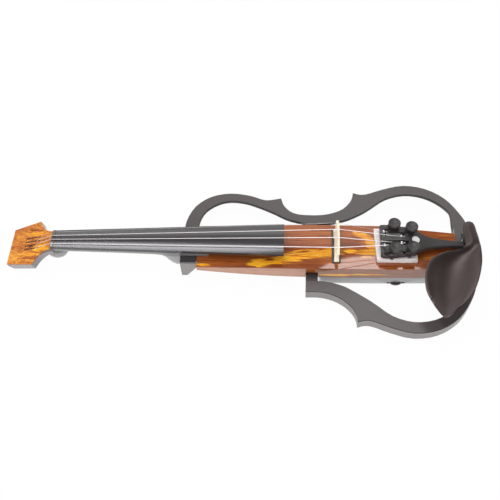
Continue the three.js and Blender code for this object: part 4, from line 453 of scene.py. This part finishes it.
# Finishes. Colours are linear; timber has its light and its dark colour
M = {
    "veneer": figured("figured_veneer", BODY_FIGURE, bias=0.02, streaks=SIDE_STREAKS),
    "head": figured("head_veneer", HEAD_FIGURE, turn=10, bias=0.19, rich=1.7, clear=0.2),
    # Black frame: its light grey sides are a painted reflection of the white floor, its dark edge
    # line and dark inward sides painted shade
    "frame": lacquer(
        "frame_lacquer", (0.083, 0.070, 0.068), rough=0.34,
        sides=(0.24, 0.22, 0.22), line=(0.02, 0.016, 0.016), inner=(0.012, 0.010, 0.010),
    ),
    "gloss": lacquer(
        "black_gloss", (0.020, 0.018, 0.019), rough=0.20, coat=1.0, coat_rough=0.04,
    ),
    "ebony": timber(
        "ebony", (0.044, 0.041, 0.043), (0.032, 0.029, 0.031), rough=0.18, scale=(30, 420, 420),
        flecks=0.85, shine=0.8,
    ),
    "black": lacquer(
        "black_moulding", (0.030, 0.025, 0.025), rough=0.34, speckle=0.08, dust=0.0003,
    ),
    "neck": lacquer(
        "neck_lacquer", (0.07, 0.066, 0.067), rough=0.30, coat=0.4,
        sides=(0.31, 0.295, 0.30), line=(0.16, 0.15, 0.155), below=0,
    ),
    # Heel block: its light sides are a painted reflection of the white floor, its dark edge line
    # painted shade
    "heel": lacquer(
        "heel_lacquer", (0.050, 0.046, 0.048), rough=0.24, coat=0.6,
        sides=(0.23, 0.21, 0.205), line=(0.03, 0.03, 0.03),
    ),
    # Glossy black housing: its light grey sides are a painted reflection of the white floor, its
    # dark edge line painted shade
    "housing": lacquer(
        "housing_gloss", (0.020, 0.018, 0.019), rough=0.20, coat=1.0, coat_rough=0.04,
        sides=(0.30, 0.29, 0.29), line=(0.025, 0.022, 0.023),
    ),
    "chinrest": timber(
        "chinrest_wood", (0.020, 0.0125, 0.0110), (0.016, 0.0100, 0.0085), rough=0.30,
        scale=(700, 90, 700), flecks=0.9, shine=0.56, glint=(1.0, 0.84, 0.81),
    ),
    "maple": timber(
        "bridge_maple", (1.00, 0.91, 0.74), (0.93, 0.80, 0.60), rough=0.55, scale=(300, 60, 120),
        flecks=0.88,
    ),
    "steel": metal("bright_steel", (0.62, 0.62, 0.64), rough=0.24),
    "dark_steel": metal("dark_steel", (0.16, 0.17, 0.20), rough=0.28),
    "wound": wound("wound_string", (0.78, 0.73, 0.73), pitch=0.00026),
    "plain_string": metal("plain_string", (0.50, 0.47, 0.46), rough=0.20, brushed=(30, 900, 900)),
    "board": lacquer("circuit_board", (0.020, 0.10, 0.045), rough=0.45, speckle=0.1),
    "cell": lacquer("battery_sleeve", (0.07, 0.10, 0.17), rough=0.35, speckle=0.05),
    "disc": metal("disc_metal", (0.93, 0.93, 0.92), rough=0.42, brushed=(60, 900, 60)),
    "foam": foam_material(),
}

# The CAD nodes of each finish; the rest is bright steel
NODES_OF = {
    "veneer": ["body_core", "top_plate"],
    "head": ["head_veneer"],
    "housing": ["lower_housing"],
    "gloss": ["battery_door"],
    "cell": ["battery"],
    "board": ["circuit_board"],
    "dark_steel": ["output_jack", "phones_jack"],
    "black": [
        "volume_wheel", "pickup_bar", "pickup_lead", "bracket_treble", "bracket_bass", "tailgut",
        "tailpiece", "tuner_knob_g", "tuner_knob_d", "tuner_knob_a", "tuner_knob_e",
    ],
    "maple": ["bridge"],
    "ebony": ["fingerboard", "nut", "saddle", "end_button"],
    "neck": ["neck"],
    "heel": ["heel_block"],
    "frame": ["frame_treble", "frame_bass", "tail_block"],
    "disc": ["tailpiece_disc"],
    "chinrest": ["chinrest_cup"],
    "wound": ["string_g", "string_d", "string_a"],
    "plain_string": ["string_e"],
}
FINISH = {node: finish for finish, nodes in NODES_OF.items() for node in nodes}
# How far each node's edges are rounded, in mm; the rest stays sharp
BEVEL = {
    "heel_block": 0.8, "frame_treble": 0.9, "frame_bass": 0.9, "bracket_treble": 0.7,
    "bracket_bass": 0.7, "tail_block": 0.6, "body_core": 0.5, "fingerboard": 0.5, "neck": 0.5,
    "top_plate": 0.35, "nut": 0.35, "tailpiece": 0.35, "lower_housing": 0.3, "head_veneer": 0.3,
    "pickup_bar": 0.3, "chinrest_bracket": 0.3, "saddle": 0.3, "bridge": 0.25, "battery_door": 0.25,
}
# Faces that meet at more than this form an edge, and at less than the second lie in one plane
SHARP_ANGLE, FLAT_ANGLE = math.radians(32), math.radians(0.4)
# Points nearer to each other than this are one, in metres
SAME_POINT = 2e-6


def stand_for(piece, node, finish):
    """Give a piece its finish and let it stand for a CAD node."""
    piece.data.materials.clear()
    piece.data.materials.append(M[finish])
    scene.collection.objects.link(piece)
    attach(piece, BODY_OF[node])
    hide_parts(node)
    return piece


# Share of the slab's treble half that is drawn in, by place along it in mm; the first place lies at
# the heel and the last beyond the tail end
DRAWN_IN = [(168.5, 0.13), (292, 0.0), (382, 0.0), (404, 0.09), (430, 0.145), (472, 0.25)]


def draw_in(bm):
    """Draw the slab's treble side in towards the heel and the tail, as the photograph shows it."""
    for vert in bm.verts:
        if vert.co.y <= 0:
            continue
        x = (vert.co.x - ORIGIN.x) * 1000
        for (start, less), (end, more) in zip(DRAWN_IN, DRAWN_IN[1:]):
            if start <= x <= end:
                vert.co.y *= 1 - less - (more - less) * (x - start) / (end - start)
                break


def close_notches(bm):
    """Let the thin top plate run on over the recesses of the brackets."""
    notch_floor, slab_side, near = 0.028, 0.0305, 1e-4
    for vert in bm.verts:
        if abs(abs(vert.co.y) - notch_floor) < near:
            vert.co.y = math.copysign(slab_side, vert.co.y)


def bring_near(bm):
    """Bring the treble rail's inner edge up to the slab at the waist."""
    middle, reach, pull = at(309, 0, 0).x, 0.030, 0.0018
    inside, outside = 0.034, 0.046
    for vert in bm.verts:
        share = 1 - ((vert.co.x - middle) / reach) ** 2
        if share > 0 and inside < vert.co.y < outside:
            vert.co.y -= pull * share


def refine(node, bevel=0.0):
    """A smooth-shaded copy of a CAD node with its edges rounded by bevel, in mm."""
    mesh = frame["nodes"][node].data.copy()
    bm = bmesh.new()
    bm.from_mesh(mesh)
    bmesh.ops.remove_doubles(bm, verts=bm.verts, dist=SAME_POINT)
    if node == "top_plate":
        close_notches(bm)
    if node == "frame_treble":
        bring_near(bm)
    if node in ("body_core", "top_plate"):
        for x, _ in DRAWN_IN[1:-1]:
            geometry = [*bm.verts, *bm.edges, *bm.faces]
            bmesh.ops.bisect_plane(bm, geom=geometry, plane_co=at(x, 0, 0), plane_no=(1, 0, 0))
        draw_in(bm)
    else:
        bmesh.ops.dissolve_limit(bm, angle_limit=FLAT_ANGLE, verts=bm.verts, edges=bm.edges)
    bmesh.ops.recalc_face_normals(bm, faces=bm.faces)
    bm.to_mesh(mesh)
    bm.free()
    for attribute in ("custom_normal", "sharp_face", "sharp_edge"):
        if attribute in mesh.attributes:
            mesh.attributes.remove(mesh.attributes[attribute])
    mesh.shade_smooth()
    mesh.set_sharp_from_angle(angle=SHARP_ANGLE)
    piece = bpy.data.objects.new(node + "_skin", mesh)
    if bevel:
        mod = piece.modifiers.new("round", "BEVEL")
        mod.width = bevel / 1000
        mod.segments = 2
        mod.limit_method = "ANGLE"
        mod.angle_limit = SHARP_ANGLE
        mod.use_clamp_overlap = True
        mod.harden_normals = True
    return stand_for(piece, node, FINISH.get(node, "steel"))


# The foam pad, in metres: how much its front edge slants, how far its cut faces lie inside the
# solid's box, how ragged and waisted they are, and how far the top's edge is pressed down
PAD_SLANT, PAD_INSET, PAD_RAGGED, PAD_WAIST, PAD_PRESSED = 0.002, 0.00035, 0.00030, 0.00045, 0.0005
# Squares along each axis, ripples per metre, and the share of them that the top takes
PAD_STEPS, PAD_RIPPLE, PAD_TOP_SHARE = (44, 40, 6), 900, 0.6
# Seed of the ripples, which would come from the clock without one
PAD_SEED = 1


def foam_pad():
    """Cut block of open foam pressed under the tailpiece: crowned, waisted and slightly ragged."""
    noise.seed_set(PAD_SEED)
    low, high = (Vector(corner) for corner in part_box("foam_pad"))
    grid = {}
    bm = bmesh.new()

    def corner(i, j, k):
        if (i, j, k) not in grid:
            u, v, w = (n / s for n, s in zip((i, j, k), PAD_STEPS))
            y = low.y + PAD_INSET + (high.y - low.y - 2 * PAD_INSET) * v
            front = low.x + PAD_INSET + PAD_SLANT * (1 - v)
            x = front + (high.x - PAD_INSET - front) * u
            z = low.z + (high.z - low.z) * w
            pull = PAD_WAIST * math.sin(math.pi * w)
            at_x, at_y = (i in (0, PAD_STEPS[0])), (j in (0, PAD_STEPS[1]))
            x += pull * (1 if i == 0 else -1) * math.sin(math.pi * v) if at_x else 0
            y += pull * (1 if j == 0 else -1) * math.sin(math.pi * u) if at_y else 0
            wobble = noise.noise_vector(Vector((x, y, z)) * PAD_RIPPLE) * PAD_RAGGED
            if w in (0, 1):
                wobble.z = 0 if w == 0 else -abs(wobble.z) * PAD_TOP_SHARE
            drop = PAD_PRESSED if (at_x + at_y) and w == 1 else 0
            place = (x + wobble.x * at_x, y + wobble.y * at_y, z + wobble.z - drop)
            grid[i, j, k] = bm.verts.new(place)
        return grid[i, j, k]

    for axis in range(3):
        a, b = [n for n in range(3) if n != axis]
        for end in (0, PAD_STEPS[axis]):
            for p in range(PAD_STEPS[a]):
                for q in range(PAD_STEPS[b]):
                    ring = []
                    for da, db in ((0, 0), (1, 0), (1, 1), (0, 1)):
                        place = [0, 0, 0]
                        place[axis], place[a], place[b] = end, p + da, q + db
                        ring.append(corner(*place))
                    bm.faces.new(ring)
    bmesh.ops.recalc_face_normals(bm, faces=bm.faces)
    mesh = bpy.data.meshes.new("foam_pad_soft")
    bm.to_mesh(mesh)
    bm.free()
    mesh.shade_smooth()
    pad = bpy.data.objects.new("foam_pad_soft", mesh)
    stand_for(pad, "foam_pad", "foam")


for name in frame["nodes"]:
    if name != "foam_pad":
        refine(name, BEVEL.get(name, 0.0))
foam_pad()


# Stage and light
# Half the floor's side in metres, its grey in the object's light, and the share of plain white that
# the camera sees in place of it, so that the shadow stays
FLOOR_REACH, FLOOR_GREY, WHITE_SHARE = 6, 0.97, 0.97
# Sky brightness by height, from straight down (0) over the horizon (0.5) to overhead (1)
SKY = [(0.0, 1.0), (0.80, 1.0), (0.88, 0.12), (1.0, 0.10)]


def make_floor():
    """White floor that keeps the object's shadow, and that gloss and glass show as white."""
    mesh = bpy.data.meshes.new("floor")
    far = FLOOR_REACH
    corners = [(-far, -far, 0), (far, -far, 0), (far, far, 0), (-far, far, 0)]
    mesh.from_pydata(corners, [], [(0, 1, 2, 3)])
    floor = bpy.data.objects.new("floor", mesh)
    scene.collection.objects.link(floor)
    n = Nodes("floor")
    path = n.add("ShaderNodeLightPath")
    diffuse = n.add("ShaderNodeBsdfDiffuse")
    diffuse.inputs["Color"].default_value = (FLOOR_GREY, FLOOR_GREY, FLOOR_GREY, 1)
    glow = n.add("ShaderNodeEmission")
    glow.inputs["Color"].default_value = (1, 1, 1, 1)
    glow.inputs["Strength"].default_value = 1.0
    seen = n.math("MULTIPLY", path.outputs["Is Camera Ray"], WHITE_SHARE)
    seen = n.math("ADD", seen, path.outputs["Is Glossy Ray"])
    seen = n.math("ADD", seen, path.outputs["Is Transmission Ray"], clamp=True)
    mix = n.add("ShaderNodeMixShader")
    n.put(seen, mix.inputs[0])
    n.put(diffuse.outputs[0], mix.inputs[1])
    n.put(glow.outputs[0], mix.inputs[2])
    n.put(mix.outputs[0], n.out.inputs["Surface"])
    mesh.materials.append(n.mat)


def make_world():
    """Sky that lights the object by height, and is plain white to the camera."""
    world = bpy.data.worlds.new("world")
    scene.world = world
    world.use_nodes = True
    tree = world.node_tree
    tree.nodes.clear()
    new, link = tree.nodes.new, tree.links.new
    out = new("ShaderNodeOutputWorld")
    path = new("ShaderNodeLightPath")
    split = new("ShaderNodeSeparateXYZ")
    link(new("ShaderNodeTexCoord").outputs["Generated"], split.inputs[0])
    height = new("ShaderNodeMapRange")
    link(split.outputs["Z"], height.inputs["Value"])
    height.inputs["From Min"].default_value = -1.0
    ramp = new("ShaderNodeValToRGB")
    link(height.outputs["Result"], ramp.inputs["Fac"])
    while len(ramp.color_ramp.elements) < len(SKY):
        ramp.color_ramp.elements.new(0.5)
    for element, (place, level) in zip(ramp.color_ramp.elements, SKY):
        element.position = place
        element.color = (level, level, level, 1)
    sky = new("ShaderNodeBackground")
    link(ramp.outputs["Color"], sky.inputs["Color"])
    backdrop = new("ShaderNodeBackground")
    backdrop.inputs["Color"].default_value = (1, 1, 1, 1)
    mix = new("ShaderNodeMixShader")
    link(path.outputs["Is Camera Ray"], mix.inputs[0])
    link(sky.outputs[0], mix.inputs[1])
    link(backdrop.outputs[0], mix.inputs[2])
    link(mix.outputs[0], out.inputs["Surface"])


def softbox(name, place, aim, size, radiance, shape="RECTANGLE", turn=0.0, tint=(1, 1, 1)):
    """Rectangular or round lamp: place, aim and size in metres from the instrument's zero.

    Its radiance is that of its surface, and turn, in degrees, is about the way that it shines.
    """
    data = bpy.data.lights.new(name, "AREA")
    data.shape = shape
    data.size, data.size_y = size
    area = size[0] * size[1] * (math.pi / 4 if shape == "ELLIPSE" else 1)
    data.energy = radiance * math.pi * area
    data.color = tint
    lamp = bpy.data.objects.new(name, data)
    scene.collection.objects.link(lamp)
    lamp.location = Vector(place) + ORIGIN
    lamp.rotation_mode = "QUATERNION"
    spin = Quaternion((0, 0, 1), math.radians(turn))
    lamp.rotation_quaternion = (Vector(aim) - Vector(place)).to_track_quat("-Z", "Y") @ spin


make_floor()
make_world()
softbox(
    "softbox_back", place=(-0.45, 1.8, 1.77), aim=(-0.45, 0.0, 1.77), size=(2.6, 1.74),
    radiance=0.95,
)
softbox(
    "softbox_round", place=(0.63, 1.045, 2.2), aim=(0.63, 1.045, 0.0), size=(0.82, 0.82),
    radiance=6.0, shape="ELLIPSE",
)
softbox(
    "softbox_over", place=(-0.40, 0.08, 2.2), aim=(-0.40, 0.08, 0.0), size=(1.5, 0.45),
    radiance=9.0, turn=-42, tint=(0.96, 0.96, 1.0),
)
softbox(
    "softbox_low", place=(0.1, -2.0, 1.3), aim=(0.0, 0.0, 0.0), size=(2.4, 1.2), radiance=1.3,
)
